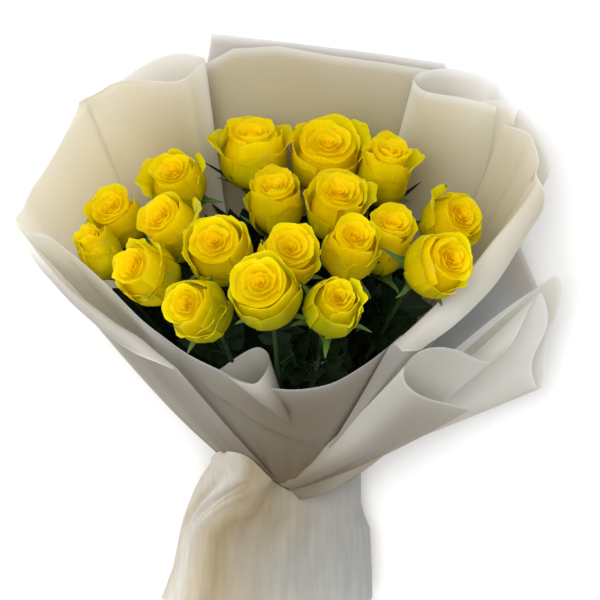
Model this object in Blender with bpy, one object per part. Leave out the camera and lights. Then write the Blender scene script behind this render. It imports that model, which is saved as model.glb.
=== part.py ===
"""A hand-tied bouquet of nineteen roses in frosted film, lying on its back.

+Y runs from the tie towards the flowers, +Z is the front of the bouquet and
the table is z = 0.  All driving sizes below are in millimetres; points are
given from the tie, as (side, along, height over the table).
"""
import math

import bmesh
import bpy
from mathutils import Matrix, Vector

MM = 0.001

# ---------------------------------------------------------------- sizes (mm)
TIE_ALONG = -200.0          # the tie on the part's Y axis
TIE_HEIGHT = 20.0           # bundle centre over the table

STEM_RADIUS = 2.7
STEM_PITCH = 6.0            # centre to centre where the stems are tied
STEM_TAIL = 97.0            # stems run this far below the tie
TAIL_SPREAD = 1.5           # the bundle opens by this factor at the cut ends
STRAIGHT_RUN = 12.0         # stems stay parallel this far each side of the tie

BAND_INNER = 15.1
BAND_OUTER = 16.9
BAND_WIDTH = 16.0

FILM = 1.2                  # solid thickness of a film sheet
NECK_SIDE = 22.0            # gathered film: half width of its first layer
NECK_FRONT = 17.9           # and half height
LAYER_STEP = 2.2            # from one gathered layer to the next

SEAT_GAP = 0.35             # clearance between touching pieces

# Roses: side angle, lift angle, reach of the head centre, head width, head length.
ROSES = [
    (-5, 5, 303, 58, 46),
    (7, 5, 308, 62, 50),
    (17, 8, 308, 50, 54),
    (-17, 10, 305, 50, 44),
    (-1, 14, 274, 48, 50),
    (10, 16, 282, 52, 48),
    (19, 21, 283, 42, 52),
    (28, 14, 299, 54, 46),
    (-27, 13, 297, 46, 44),
    (-18, 21, 298, 50, 48),
    (-31, 20, 299, 40, 44),
    (-24, 30, 296, 50, 48),
    (-11, 31, 298, 54, 50),
    (2, 34, 305, 48, 48),
    (12, 29, 292, 48, 50),
    (26, 29, 307, 56, 48),
    (-3, 42, 325, 54, 48),
    (-16, 41, 298, 52, 48),
    (10, 43, 306, 48, 46),
]

# Leaves: rose number, distance along its stem, turn about the stem, length, width.
LEAVES = [
    (17, 215, 20, 46, 30),
    (17, 235, -100, 40, 26),
    (18, 216, 110, 42, 28),
    (18, 225, -30, 38, 26),
    (19, 215, -60, 44, 28),
    (19, 230, 50, 36, 24),
    (12, 205, 110, 42, 26),
    (16, 215, -110, 44, 28),
    (7, 205, -100, 40, 26),
    (4, 215, 120, 40, 24),
    (8, 225, -150, 38, 24),
]
LEAF_THICK = 1.0
LEAF_SPLAY = 38.0           # degrees between a leaf and its stem

# ------------------------------------------------------------------- colours
PETAL_YELLOW = (0.90, 0.68, 0.02, 1.0)
STEM_GREEN = (0.10, 0.20, 0.04, 1.0)
LEAF_GREEN = (0.03, 0.09, 0.02, 1.0)
FILM_WHITE = (0.80, 0.76, 0.70, 1.0)
BAND_WHITE = (0.75, 0.72, 0.65, 1.0)


def clear_scene():
    for old in list(bpy.data.objects):
        bpy.data.objects.remove(old, do_unlink=True)


def material(name, colour, roughness, metallic=0.0):
    mat = bpy.data.materials.new(name)
    mat.use_nodes = True
    shader = mat.node_tree.nodes["Principled BSDF"]
    shader.inputs["Base Color"].default_value = colour
    shader.inputs["Roughness"].default_value = roughness
    shader.inputs["Metallic"].default_value = metallic
    return mat


def place(side, along, height):
    """A point given from the tie, in the part's own frame, in metres."""
    return Vector((side, along + TIE_ALONG, height)) * MM


def add_mesh(name, verts, faces, mat, smooth=True):
    mesh = bpy.data.meshes.new(name)
    mesh.from_pydata([tuple(v) for v in verts], [], faces)
    bm = bmesh.new()
    bm.from_mesh(mesh)
    bmesh.ops.recalc_face_normals(bm, faces=bm.faces)
    bm.to_mesh(mesh)
    bm.free()
    mesh.materials.append(mat)
    if smooth:
        mesh.shade_smooth()
        mesh.set_sharp_from_angle(angle=math.radians(50))
    obj = bpy.data.objects.new(name, mesh)
    bpy.context.scene.collection.objects.link(obj)
    return obj


def smooth_curve(knots, count):
    """Catmull-Rom samples through knots of any dimension, evenly in the knots."""
    last = len(knots) - 1
    out = []
    for i in range(count):
        at = i * last / (count - 1)
        k = min(int(at), last - 1)
        f = at - k
        p1, p2 = knots[k], knots[k + 1]
        p0 = knots[k - 1] if k else [2 * a - b for a, b in zip(p1, p2)]
        p3 = knots[k + 2] if k + 2 <= last else [2 * b - a for a, b in zip(p1, p2)]
        out.append([
            0.5 * (2 * b + (c - a) * f + (2 * a - 5 * b + 4 * c - d) * f * f
                   + (3 * b - a - 3 * c + d) * f ** 3)
            for a, b, c, d in zip(p0, p1, p2, p3)
        ])
    return out


# --------------------------------------------------------------------- stems
def tie_slots():
    """Nineteen close-packed places: one, a ring of six and a ring of twelve."""
    slots = []
    for q in range(-2, 3):
        for r in range(max(-2, -q - 2), min(2, -q + 2) + 1):
            slots.append(((q + r / 2) * STEM_PITCH, r * STEM_PITCH * math.sqrt(3) / 2))
    return slots


def rose_direction(rose):
    side, lift = math.radians(rose[0]), math.radians(rose[1])
    return Vector((math.sin(side) * math.cos(lift), math.cos(side) * math.cos(lift),
                   math.sin(lift)))


SLOT_ROWS = [3, 4, 5, 4, 3]


def match_slots():
    """Give each rose the slot on its own side, so that no two stems cross."""
    order = sorted(range(len(ROSES)), key=lambda i: ROSES[i][1])
    slots = sorted(tie_slots(), key=lambda s: (round(s[1], 3), s[0]))
    pick, start = {}, 0
    for row in SLOT_ROWS:
        members = sorted(order[start:start + row], key=lambda i: ROSES[i][0])
        for slot, i in zip(slots[start:start + row], members):
            pick[i] = slot
        start += row
    return pick


def stem_route(rose, slot):
    """Knots from the cut end, through the tie, to the underside of the head."""
    x, z = slot
    centre = Vector((0, 0, TIE_HEIGHT)) + rose_direction(rose) * rose[2]
    base = centre - rose_direction(rose) * (rose[4] / 2)
    tail = Vector((x * TAIL_SPREAD, -STEM_TAIL, TIE_HEIGHT + z * TAIL_SPREAD))
    low = Vector((x, -STRAIGHT_RUN, TIE_HEIGHT + z))
    high = Vector((x, STRAIGHT_RUN, TIE_HEIGHT + z))
    route = [tail, tail.lerp(low, 0.5), low, high]
    route += [high.lerp(base, f) for f in (0.25, 0.5, 0.75)]
    return route + [base]


def add_stem(name, route, mat):
    curve = bpy.data.curves.new(name, "CURVE")
    curve.dimensions = "3D"
    curve.bevel_depth = STEM_RADIUS * MM
    curve.bevel_resolution = 1
    curve.render_resolution_u = 0
    curve.use_fill_caps = True
    spline = curve.splines.new("POLY")
    spline.points.add(len(route) - 1)
    for point, knot in zip(spline.points, route):
        point.co = (*place(*knot), 1.0)
    curve.materials.append(mat)
    obj = bpy.data.objects.new(name, curve)
    bpy.context.scene.collection.objects.link(obj)
    return obj


# --------------------------------------------------------------------- heads
HEAD_SIDES = 14
HEAD_SCALLOPS = 0.035       # how far the petal tips stand out, of the radius
# Turned profile: share of the head's radius, share of its length.
HEAD_PROFILE = [
    (0.16, 0.0), (0.42, 0.07), (0.74, 0.22), (0.94, 0.44), (1.0, 0.64),
    (0.97, 0.84), (0.86, 0.96), (0.66, 1.0), (0.46, 0.93), (0.22, 0.97),
]


def add_head(name, rose, mat):
    radius, length = rose[3] / 2, rose[4]
    verts, faces = [], []
    for share, up in HEAD_PROFILE:
        for i in range(HEAD_SIDES):
            turn = 2 * math.pi * i / HEAD_SIDES
            r = radius * share * (1 + HEAD_SCALLOPS * up * math.cos(5 * turn))
            verts.append(Vector((r * math.cos(turn), r * math.sin(turn), length * up)) * MM)
    rings = len(HEAD_PROFILE)
    for k in range(rings - 1):
        for i in range(HEAD_SIDES):
            j = (i + 1) % HEAD_SIDES
            a, b = k * HEAD_SIDES, (k + 1) * HEAD_SIDES
            faces.append((a + i, a + j, b + j, b + i))
    faces.append(tuple(reversed(range(HEAD_SIDES))))
    faces.append(tuple((rings - 1) * HEAD_SIDES + i for i in range(HEAD_SIDES)))
    obj = add_mesh(name, verts, faces, mat)
    way = rose_direction(rose)
    centre = Vector((0, 0, TIE_HEIGHT)) + way * rose[2]
    base = centre - way * (length / 2 - SEAT_GAP)
    turn = Vector((0, 0, 1)).rotation_difference(way).to_matrix().to_4x4()
    obj.matrix_world = Matrix.Translation(place(*base)) @ turn
    return obj


# -------------------------------------------------------------------- leaves
LEAF_OUTLINE = [(0.0, 0.06), (0.15, 0.34), (0.35, 0.5), (0.6, 0.42), (0.82, 0.2), (1.0, 0.02)]
LEAF_VALLEY = 0.12          # the blade dips to its midrib by this share of its width


def add_leaf(name, route, distance, turn, length, width, mat):
    """A blade with a folded midrib, seated on the stem with its tip splayed out."""
    start, end = Vector(route[3]), Vector(route[-1])
    axis = (end - start).normalized()
    foot = start + axis * (distance - STRAIGHT_RUN)
    up = Vector((0, 0, 1))
    out = (up - axis * up.dot(axis)).normalized()
    out = Matrix.Rotation(math.radians(turn), 3, axis) @ out
    splay = math.radians(LEAF_SPLAY)
    way = axis * math.cos(splay) + out * math.sin(splay)
    across = axis.cross(out).normalized()
    normal = across.cross(way).normalized()
    if normal.dot(out) < 0:
        normal = -normal
    foot = foot + out * (STEM_RADIUS + SEAT_GAP + LEAF_THICK / 2)
    verts, faces = [], []
    for face in (1, -1):
        for along, half in LEAF_OUTLINE:
            for side in (-1, 0, 1):
                rise = LEAF_VALLEY * width * abs(side) * half * 2
                spot = foot + way * (along * length) + across * (side * half * width)
                spot += normal * (rise + face * LEAF_THICK / 2)
                verts.append(place(*spot))
    rows, cols = len(LEAF_OUTLINE), 3
    side_count = rows * cols
    for r in range(rows - 1):
        for c in range(cols - 1):
            a = r * cols + c
            quad = (a, a + 1, a + cols + 1, a + cols)
            faces.append(quad)
            faces.append(tuple(i + side_count for i in reversed(quad)))
    rim = [r * cols for r in range(rows)] + [(rows - 1) * cols + 1]
    rim += [r * cols + cols - 1 for r in reversed(range(rows))] + [1]
    for a, b in zip(rim, rim[1:] + rim[:1]):
        faces.append((b, a, a + side_count, b + side_count))
    return add_mesh(name, verts, faces, mat)


# ---------------------------------------------------------------------- film
def neck_point(angle, layer):
    """A point of the gathered film at the tie; 0 is right, 90 front, 270 back."""
    a = math.radians(angle)
    return Vector(((NECK_SIDE + layer * LAYER_STEP) * math.cos(a), 0,
                   TIE_HEIGHT + (NECK_FRONT + layer * LAYER_STEP) * math.sin(a)))


BELLY_AXIS = Vector((0, 250, 100))      # from the tie to the middle of the flowers
RISE_ROWS = 6               # rows of a gathered sheet between its neck and its rim
BELLY_LOW = 0.8             # under 1 puts a sheet's fullest place nearer the neck


def strip(column, rise_rows, roll_rows):
    """One line of a sheet, from its neck over its rim and round its roll, if it has one."""
    angle, layer, lift, x, y, z, belly = column[:7]
    foot = neck_point(angle, layer) + Vector((0, lift, 0))
    rim = Vector((x, y, z))
    middle = foot.lerp(rim, 0.5)
    tie = Vector((0, 0, TIE_HEIGHT))
    along = (middle - tie).dot(BELLY_AXIS) / BELLY_AXIS.length_squared
    out = middle - (tie + BELLY_AXIS * along)
    ruling = (rim - foot).normalized()
    out = (out - ruling * out.dot(ruling)).normalized()
    points = []
    for i in range(rise_rows + 1):
        t = i / rise_rows
        points.append(foot.lerp(rim, t) + out * (belly * math.sin(math.pi * t ** BELLY_LOW)))
    way = (points[-1] - points[-2]).normalized()
    out = (out - way * out.dot(way)).normalized()
    if roll_rows:
        roll, turn, lapel = column[7:]
        full = math.radians(turn)
        radius = roll / full
        for i in range(1, roll_rows + 1):
            a = full * i / roll_rows
            points.append(rim + way * (radius * math.sin(a)) + out * (radius * (1 - math.cos(a))))
        points.append(points[-1] + (way * math.cos(full) + out * math.sin(full)) * lapel)
    return points


def add_sheet(name, columns, count, rise_rows, roll_rows, mat):
    """A closed film sheet of even thickness through strips of hand-set columns."""
    grid = [strip(c, rise_rows, roll_rows) for c in smooth_curve(columns, count)]
    return add_skin(name, grid, mat)


def add_skin(name, grid, mat, flat=False, ring=False):
    """Thicken a grid of points into one closed solid, open at its ends or a ring."""
    cols, rows = len(grid), len(grid[0])
    verts = []
    for face in (0.5, -0.5):
        for i in range(cols):
            for j in range(rows):
                if ring:
                    side = grid[(i + 1) % cols][j] - grid[i - 1][j]
                else:
                    side = grid[min(i + 1, cols - 1)][j] - grid[max(i - 1, 0)][j]
                up = grid[i][min(j + 1, rows - 1)] - grid[i][max(j - 1, 0)]
                normal = Vector((0, 0, 1)) if flat else side.cross(up).normalized()
                verts.append(place(*(grid[i][j] + normal * (face * FILM))))
    back = cols * rows
    spans = cols if ring else cols - 1
    faces = []
    for i in range(spans):
        n = (i + 1) % cols
        for j in range(rows - 1):
            a, b, c, d = i * rows + j, n * rows + j, n * rows + j + 1, i * rows + j + 1
            for half in ((a, b, c), (a, c, d)):     # both faces bend along one diagonal
                faces.append(half)
                faces.append(tuple(v + back for v in reversed(half)))
        for j in (0, rows - 1):
            a, b = i * rows + j, n * rows + j
            faces.append((b, a, a + back, b + back) if j == 0 else (a, b, b + back, a + back))
    if not ring:
        for i in (0, cols - 1):
            for j in range(rows - 1):
                a, b = i * rows + j, i * rows + j + 1
                edge = (a, b, b + back, a + back)
                faces.append(edge if i == 0 else tuple(reversed(edge)))
    return add_mesh(name, verts, faces, mat)


# Columns of the gathered sheets: neck angle, layer and place along; the rim's
# side, along and height; how far the line bellies out; and, where the edge is
# rolled, the roll's length, its turn in degrees and the straight end after it.
FRONT_SHEET = [
    (144, 0, 4, -200, 254, 108, 3),
    (138, 0, 4, -186, 255, 128, 4),
    (133, 0, 3, -154, 233, 156, 5),
    (126, 0, 2, -120, 201, 161, 7),
    (116, 0, 1, -84, 165, 166, 9),
    (105, 0, 1, -48, 155, 173, 9),
    (93, 0, 1, -8, 144, 172, 7),
    (82, 0, 1, 30, 146, 171, 5),
    (72, 0, 1, 62, 160, 165, 4),
    (60, 0, 1, 92, 182, 150, 3),
]
LEFT_SHEET = [
    (106, 1, -1, -84, 148, 153, 14, 12, 60, 2),
    (118, 1, -1, -115, 175, 145, 17, 30, 150, 4),
    (132, 1, 1, -139, 184, 134, 18, 34, 190, 4),
    (148, 1, 3, -161, 202, 121, 16, 34, 200, 4),
    (162, 1, 4, -181, 225, 108, 16, 28, 190, 3),
    (174, 1, 6, -196, 246, 101, 14, 18, 120, 2),
    (184, 1, 6, -204, 264, 102, 12, 8, 30, 2),
    (192, 1, 6, -194, 286, 90, 10, 6, 10, 2),
    (198, 1, 6, -173, 317, 74, 9, 6, 10, 2),
    (203, 1, 6, -152, 345, 60, 7, 6, 10, 2),
    (206, 1, 6, -134, 351, 56, 6, 6, 10, 2),
    (209, 1, 6, -104, 357, 46, 4, 6, 10, 2),
    (212, 1, 6, -76, 364, 32, 2, 6, 10, 2),
    (215, 1.3, 6, -62, 369, 22, 0, 6, 10, 2),
    (216, 2.0, 6, -72, 368, 14, 0, 6, 10, 2),
    (213, 2.6, 6, -100, 363, 13, 0, 6, 10, 2),
]
RIGHT_SHEET = [
    (70, 1, 0, 81, 174, 165, 8, 40, 230, 3),
    (58, 1, 2, 99, 189, 159, 9, 48, 250, 3),
    (46, 1, 3, 120, 207, 150, 10, 54, 260, 3),
    (34, 1, 4, 148, 232, 136, 10, 56, 260, 3),
    (20, 1, 5, 175, 257, 119, 10, 54, 255, 3),
    (6, 1, 6, 192, 273, 106, 10, 40, 195, 2),
    (-4, 1, 6, 204, 286, 92, 10, 15, 55, 3),
    (-10, 1, 6, 208, 298, 80, 10, 6, 10, 3),
    (-16, 1, 6, 201, 319, 66, 8, 6, 10, 2),
    (-20, 1, 6, 184, 340, 54, 6, 6, 10, 2),
    (-24, 1, 6, 166, 349, 48, 4, 6, 10, 2),
    (-27, 1, 6, 144, 350, 40, 3, 6, 10, 2),
    (-31, 1, 6, 120, 350, 28, 1, 6, 10, 2),
    (-34, 1.3, 6, 108, 355, 19, 0, 6, 10, 2),
    (-35, 2.0, 6, 122, 361, 14, 0, 6, 10, 2),
    (-32, 2.6, 6, 148, 357, 14, 0, 6, 10, 2),
]
RIGHT_FLAP = [
    (46, 4.6, 1, 146, 94, 84, 9),
    (62, 4.6, 0, 124, 97, 100, 13),
    (76, 4.6, -1, 106, 108, 114, 15),
    (88, 4.6, -4, 97, 126, 126, 16),
    (94, 3.3, -4, 96, 146, 137, 16),
    (86, 2, -1, 106, 158, 132, 15),
    (74, 2, 0, 126, 157, 116, 14),
    (62, 2, 1, 146, 149, 101, 13),
    (50, 2, 1, 164, 139, 90, 12),
    (38, 2, 2, 182, 144, 82, 10),
    (26, 2, 3, 204, 168, 76, 9),
    (14, 2, 4, 213, 186, 66, 8),
    (4, 2, 5, 222, 192, 54, 7),
    (-8, 2, 6, 222, 168, 46, 6),
    (-18, 2, 6, 216, 132, 42, 5),
    (-26, 2, 6, 210, 104, 42, 4),
]

# The two flat sheets on the table: neck and outer edge, then the rows' shares.
BACK_HEIGHT = FILM / 2
LINING_HEIGHT = BACK_HEIGHT + FILM + SEAT_GAP
BACK_EDGE = [(-150, 188), (-112, 286), (-62, 392), (4, 385), (68, 377), (132, 368),
             (172, 272), (214, 178)]
BACK_CURL = [10, 4, 3, 0, 0, 3, 6, 14]
BACK_NECK = 24.0
LINING_EDGE = [(-108, 262), (-92, 322), (-64, 372), (-4, 368), (60, 367), (124, 364),
               (138, 318), (146, 262)]
LINING_CURL = [3, 4, 8, 5, 5, 8, 4, 3]
LINING_NECK = 17.0
SHEET_ROWS = 8
SHEET_START = 8.0
EDGE_STEPS = 2              # columns in each straight stretch of an edge
FLAT_SHARE = 0.75           # of a flat sheet's length, before its edge lifts


def flat_sheet(neck, edge, curl, height):
    """A fan from the neck to a straight-sided edge, lifting a little at its edge."""
    count = (len(edge) - 1) * EDGE_STEPS + 1
    grid = []
    for i in range(count):
        at = i / EDGE_STEPS
        k = min(int(at), len(edge) - 2)
        f = at - k
        x = edge[k][0] * (1 - f) + edge[k + 1][0] * f
        y = edge[k][1] * (1 - f) + edge[k + 1][1] * f
        lift = curl[k] * (1 - f) + curl[k + 1] * f
        foot = -neck + 2 * neck * i / (count - 1)
        line = []
        for j in range(SHEET_ROWS + 1):
            t = j / SHEET_ROWS
            rise = height + lift * max(0.0, (t - FLAT_SHARE) / (1 - FLAT_SHARE)) ** 2
            line.append(Vector((foot + (x - foot) * t, SHEET_START + (y - SHEET_START) * t, rise)))
        grid.append(line)
    return grid


# The handle sheet: centre, half width, height and top/bottom edges along the stems.
HANDLE_TOP = (0.0, 61.0, 37.2)
HANDLE_BOTTOM = (-16.0, 91.0, 52.0)
HANDLE_END = -104.0
HANDLE_FRONT_EDGE = -2.0
HANDLE_LEFT_EDGE = 30.0
HANDLE_RIGHT_EDGE = 12.0
HANDLE_FLARE = 0.8          # under 1 widens the handle soon below the tie
HANDLE_FLATNESS = 1.4       # over 1 flattens its underside on the table
HANDLE_SIDES = 36
HANDLE_ROWS = 8


def handle_grid():
    grid = []
    for i in range(HANDLE_SIDES):
        a = 2 * math.pi * i / HANDLE_SIDES
        ear = HANDLE_LEFT_EDGE if math.cos(a) < 0 else HANDLE_RIGHT_EDGE
        top = HANDLE_FRONT_EDGE + (ear - HANDLE_FRONT_EDGE) * math.cos(a) ** 4
        line = []
        for j in range(HANDLE_ROWS + 1):
            t = j / HANDLE_ROWS
            ease = t ** HANDLE_FLARE
            centre, half, tall = (
                p + (q - p) * ease for p, q in zip(HANDLE_TOP, HANDLE_BOTTOM))
            z = FILM / 2 + tall * ((1 + math.sin(a)) / 2) ** HANDLE_FLATNESS
            line.append(Vector((centre + half * math.cos(a), top + (HANDLE_END - top) * t, z)))
        grid.append(line)
    return grid


BAND_SIDES = 28


def add_band(mat):
    """The tape round the stems: a turned square ring."""
    sides, rows = BAND_SIDES, []
    for radius, along in ((BAND_OUTER, -1), (BAND_OUTER, 1), (BAND_INNER, 1), (BAND_INNER, -1)):
        rows.append([
            place(radius * math.cos(2 * math.pi * i / sides), along * BAND_WIDTH / 2,
                  TIE_HEIGHT + radius * math.sin(2 * math.pi * i / sides))
            for i in range(sides)])
    verts = [v for row in rows for v in row]
    faces = []
    for k in range(4):
        a, b = k * sides, ((k + 1) % 4) * sides
        for i in range(sides):
            j = (i + 1) % sides
            faces.append((a + i, a + j, b + j, b + i))
    return add_mesh("stem_band", verts, faces, mat)


def build():
    clear_scene()
    petal = material("petal_yellow", PETAL_YELLOW, 0.55)
    green = material("stem_green", STEM_GREEN, 0.5)
    leaf = material("leaf_green", LEAF_GREEN, 0.45)
    film = material("frosted_film", FILM_WHITE, 0.4)
    tape = material("band_white", BAND_WHITE, 0.6)

    slots = match_slots()
    routes = {}
    for i, rose in enumerate(ROSES):
        number = i + 1
        routes[number] = stem_route(rose, slots[i])
        add_stem(f"rose_stem_{number:02d}", routes[number], green)
        add_head(f"rose_head_{number:02d}", rose, petal)
    for n, (rose, distance, turn, length, width) in enumerate(LEAVES, 1):
        add_leaf(f"leaf_{n:02d}", routes[rose], distance, turn, length, width, leaf)
    add_band(tape)
    add_skin("wrap_back_sheet",
             flat_sheet(BACK_NECK, BACK_EDGE, BACK_CURL, BACK_HEIGHT), film, flat=True)
    add_skin("wrap_back_lining",
             flat_sheet(LINING_NECK, LINING_EDGE, LINING_CURL, LINING_HEIGHT), film, flat=True)
    add_sheet("wrap_front_sheet", FRONT_SHEET, 19, RISE_ROWS, 0, film)
    add_sheet("wrap_left_sheet", LEFT_SHEET, 27, RISE_ROWS, 5, film)
    add_sheet("wrap_right_sheet", RIGHT_SHEET, 27, RISE_ROWS, 6, film)
    add_sheet("wrap_right_flap", RIGHT_FLAP, 27, RISE_ROWS, 0, film)
    add_skin("wrap_handle", handle_grid(), film, ring=True)


build()
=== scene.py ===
"""The looks of a bouquet of nineteen yellow roses in frosted film.

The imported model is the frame: every petal, leaf, stem and sheet here is built
around its solids.  Sizes are in millimetres and are given, as in the part,
from the tie as (side, along, height over the table).
"""

from math import atan2, cos, degrees, hypot, pi, radians, sin, sqrt, tan

import bpy
import numpy as np
from mathutils import Matrix, Vector


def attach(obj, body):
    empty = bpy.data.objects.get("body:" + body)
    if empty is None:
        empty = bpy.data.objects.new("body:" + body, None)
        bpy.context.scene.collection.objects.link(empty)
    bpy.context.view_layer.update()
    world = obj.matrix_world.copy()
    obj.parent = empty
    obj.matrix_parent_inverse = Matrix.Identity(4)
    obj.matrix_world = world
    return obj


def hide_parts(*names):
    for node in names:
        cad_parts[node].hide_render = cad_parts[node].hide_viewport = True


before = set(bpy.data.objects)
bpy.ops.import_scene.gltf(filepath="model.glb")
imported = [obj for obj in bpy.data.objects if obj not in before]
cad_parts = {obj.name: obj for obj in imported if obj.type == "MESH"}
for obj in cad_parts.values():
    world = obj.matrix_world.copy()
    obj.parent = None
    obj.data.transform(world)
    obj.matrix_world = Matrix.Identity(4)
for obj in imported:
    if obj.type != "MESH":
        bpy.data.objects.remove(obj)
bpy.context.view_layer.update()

MM = 0.001
TIE_ALONG = -200.0          # the tie on the part's Y axis
TIE_HEIGHT = 20.0           # bundle centre over the table

# ------ the part's sizes
STEM_RADIUS = 2.7
STEM_PITCH = 6.0            # between stems in the tie
STEM_TAIL = 97.0            # from the tie to the cut ends
TAIL_SPREAD = 1.5           # how much wider the bundle is at the cut ends
STRAIGHT_RUN = 12.0         # the stems' straight run either side of the tie
SLOT_ROWS = [3, 4, 5, 4, 3]  # stems in each row of the tie

NECK_SIDE = 22.0            # the film's neck: half width, half height
NECK_FRONT = 17.9
LAYER_STEP = 2.2            # from one layer of film to the next
BELLY_AXIS = np.array((0.0, 250.0, 100.0))  # the sheets belly out from this line
BELLY_LOW = 0.8             # under 1, they do so nearer the neck

# Roses: side angle, lift angle, reach of the head centre, head width, head length.
ROSES = [
    (-5, 5, 303, 58, 46), (7, 5, 308, 62, 50), (17, 8, 308, 50, 54), (-17, 10, 305, 50, 44),
    (-1, 14, 274, 48, 50), (10, 16, 282, 52, 48), (19, 21, 283, 42, 52), (28, 14, 299, 54, 46),
    (-27, 13, 297, 46, 44), (-18, 21, 298, 50, 48), (-31, 20, 299, 40, 44),
    (-24, 30, 296, 50, 48), (-11, 31, 298, 54, 50), (2, 34, 305, 48, 48), (12, 29, 292, 48, 50),
    (26, 29, 307, 56, 48), (-3, 42, 325, 54, 48), (-16, 41, 298, 52, 48), (10, 43, 306, 48, 46),
]

# Leaves: rose number, distance along its stem, turn about the stem, length, width.
LEAVES = [
    (17, 215, 20, 46, 30), (17, 235, -100, 40, 26), (18, 216, 110, 42, 28),
    (18, 225, -30, 38, 26), (19, 215, -60, 44, 28), (19, 230, 50, 36, 24),
    (12, 205, 110, 42, 26), (16, 215, -110, 44, 28), (7, 205, -100, 40, 26),
    (4, 215, 120, 40, 24), (8, 225, -150, 38, 24),
]
LEAF_SPLAY = 38.0
LEAF_TURN = {1: 70, 2: -80, 3: 60, 4: -50}    # these leaves keep clear of the front film

# Columns of the gathered sheets: neck angle, layer and place along; the rim's
# side, along and height; how far the line bellies out; the light and shade
# painted on the film there; and, where the edge is rolled, the roll's length,
# its turn in degrees and the straight end after it.
FRONT_SHEET = [
    (144, 0, 4, -207, 252, 106, 2, 1.7), (141, 0, 4, -196, 256, 118, 2, 1.7),
    (138, 0, 4, -185, 256, 127, 2, 1.7), (135, 0, 4, -173, 251, 138, 3, 1.65),
    (132, 0, 3, -154, 239, 150, 3, 1.65), (128, 0, 3, -135, 223, 157, 4, 1.6),
    (123, 0, 2, -112, 200, 162, 5, 1.2), (117, 0, 2, -92, 184, 165, 5, 0.75),
    (111, 0, 1, -73, 171, 168, 4, 0.4), (105, 0, 1, -52, 161, 171, 3, 0.25),
    (99, 0, 1, -30, 151, 173, 3, 0.14), (93, 0, 1, -7, 145, 172, 3, 0.06),
    (87, 0, 1, 15, 144, 171, 3, 0.02), (80, 0, 1, 39, 149, 170, 3, 0),
    (72, 0, 1, 62, 161, 165, 3, 0.06), (66, 0, 1, 80, 173, 159, 3, 0.14),
    (60, 0, 1, 93, 182, 150, 3, 0.2),
]
LEFT_SHEET = [
    (99, 9.5, 20, -83, 157, 161, 1, 0.48, 5, 60, 1),
    (107, 7, 14, -99, 169, 156, 4, 0.4, 12, 110, 2),
    (116, 4.6, 9, -113, 179, 150, 7, 0.36, 18, 160, 2),
    (124, 2.8, 5, -129, 187, 144, 9, 0.36, 20, 190, 2),
    (134, 1.5, 3, -145, 197, 137, 9, 0.4, 19, 200, 2),
    (144, 1.3, 3, -161, 206, 128, 10, 0.44, 16, 200, 2),
    (157, 1.1, 4, -180, 220, 115, 11, 0.66, 12, 180, 2),
    (168, 1, 5, -196, 235, 104, 12, 1.2, 8, 120, 1),
    (176, 1, 6, -208, 250, 98, 12, 1.5, 5, 60, 1),
    (180, 1, 6, -211, 257, 97, 12, 1.7, 4, 30, 1),
    (184, 1, 6, -206, 267, 98, 11, 1.9, 4, 10, 1), (190, 1, 6, -191, 290, 86, 10, 2, 4, 10, 1),
    (196, 1, 6, -173, 320, 72, 9, 2, 4, 10, 1), (201, 1, 6, -161, 340, 62, 7, 2, 8, 80, 1),
    (203, 1, 6, -152, 346, 58, 6, 2, 14, 150, 2), (205, 1, 6, -141, 351, 55, 5, 2, 16, 165, 2),
    (207, 1, 6, -127, 357, 50, 5, 2, 10, 100, 1), (209, 1, 6, -92, 356, 42, 4, 2, 4, 10, 1),
    (211, 1, 6, -76, 361, 36, 2, 1.8, 4, 10, 1), (214, 1, 6, -64, 370, 26, 1, 1.4, 4, 10, 1),
    (215, 1.4, 6, -69, 371, 14, 0, 0.95, 4, 10, 1), (216, 2, 6, -85, 374, 13, 0, 0.9, 4, 10, 1),
    (214, 2.3, 6, -102, 370, 14, 0, 0.9, 4, 10, 1),
    (212, 2.6, 6, -118, 362, 18, 0, 0.95, 4, 10, 1),
    (209, 3, 6, -134, 352, 24, 0, 1.1, 4, 10, 1),
]
# Pressed folds along the side sheets: column, width in columns and depth.
LEFT_RIDGES = [(9.9, 0.3, -2.0), (10.7, 0.3, 2.2), (12.9, 0.5, -3.5), (13.9, 0.4, 2.5),
               (17.7, 0.5, -3.0)]
RIGHT_RIDGES = [(7.3, 0.3, -1.6), (9.2, 0.4, 2.0)]
RIGHT_SHEET = [
    (70, 0.7, 0, 83, 176, 162, 4, 0.6, 14, 110, 1),
    (58, 0.9, 2, 99, 189, 158, 7, 0.85, 32, 200, 2),
    (46, 1, 3, 120, 207, 150, 10, 1.4, 50, 255, 3),
    (34, 1, 4, 145, 229, 136, 10, 1.6, 54, 260, 3),
    (20, 1, 5, 165, 249, 119, 10, 1.7, 48, 250, 3),
    (6, 1, 6, 181, 264, 106, 10, 1.8, 34, 200, 2), (-4, 1, 6, 193, 276, 92, 11, 1.9, 16, 90, 2),
    (-8, 1, 6, 201, 287, 81, 13, 1.9, 4, 10, 1), (-12, 1, 6, 202, 301, 70, 16, 1.9, 4, 10, 1),
    (-15, 1, 6, 196, 316, 62, 20, 1.9, 4, 10, 1), (-18, 1, 6, 186, 321, 55, 24, 1.9, 4, 10, 1),
    (-20, 1, 6, 176, 322, 50, 26, 1.9, 4, 10, 1),
]
RIGHT_OUTER = [
    (-8, 1.8, 6, 204, 276, 76, 11, 0.85), (-10, 1.8, 6, 213, 287, 66, 13, 0.85),
    (-12, 1.8, 6, 216, 297, 58, 15, 0.85), (-15, 1.8, 6, 211, 311, 50, 18, 0.85),
    (-18, 1.8, 6, 201, 329, 44, 21, 0.85), (-20, 1.8, 6, 191, 339, 40, 24, 0.85),
]
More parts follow.
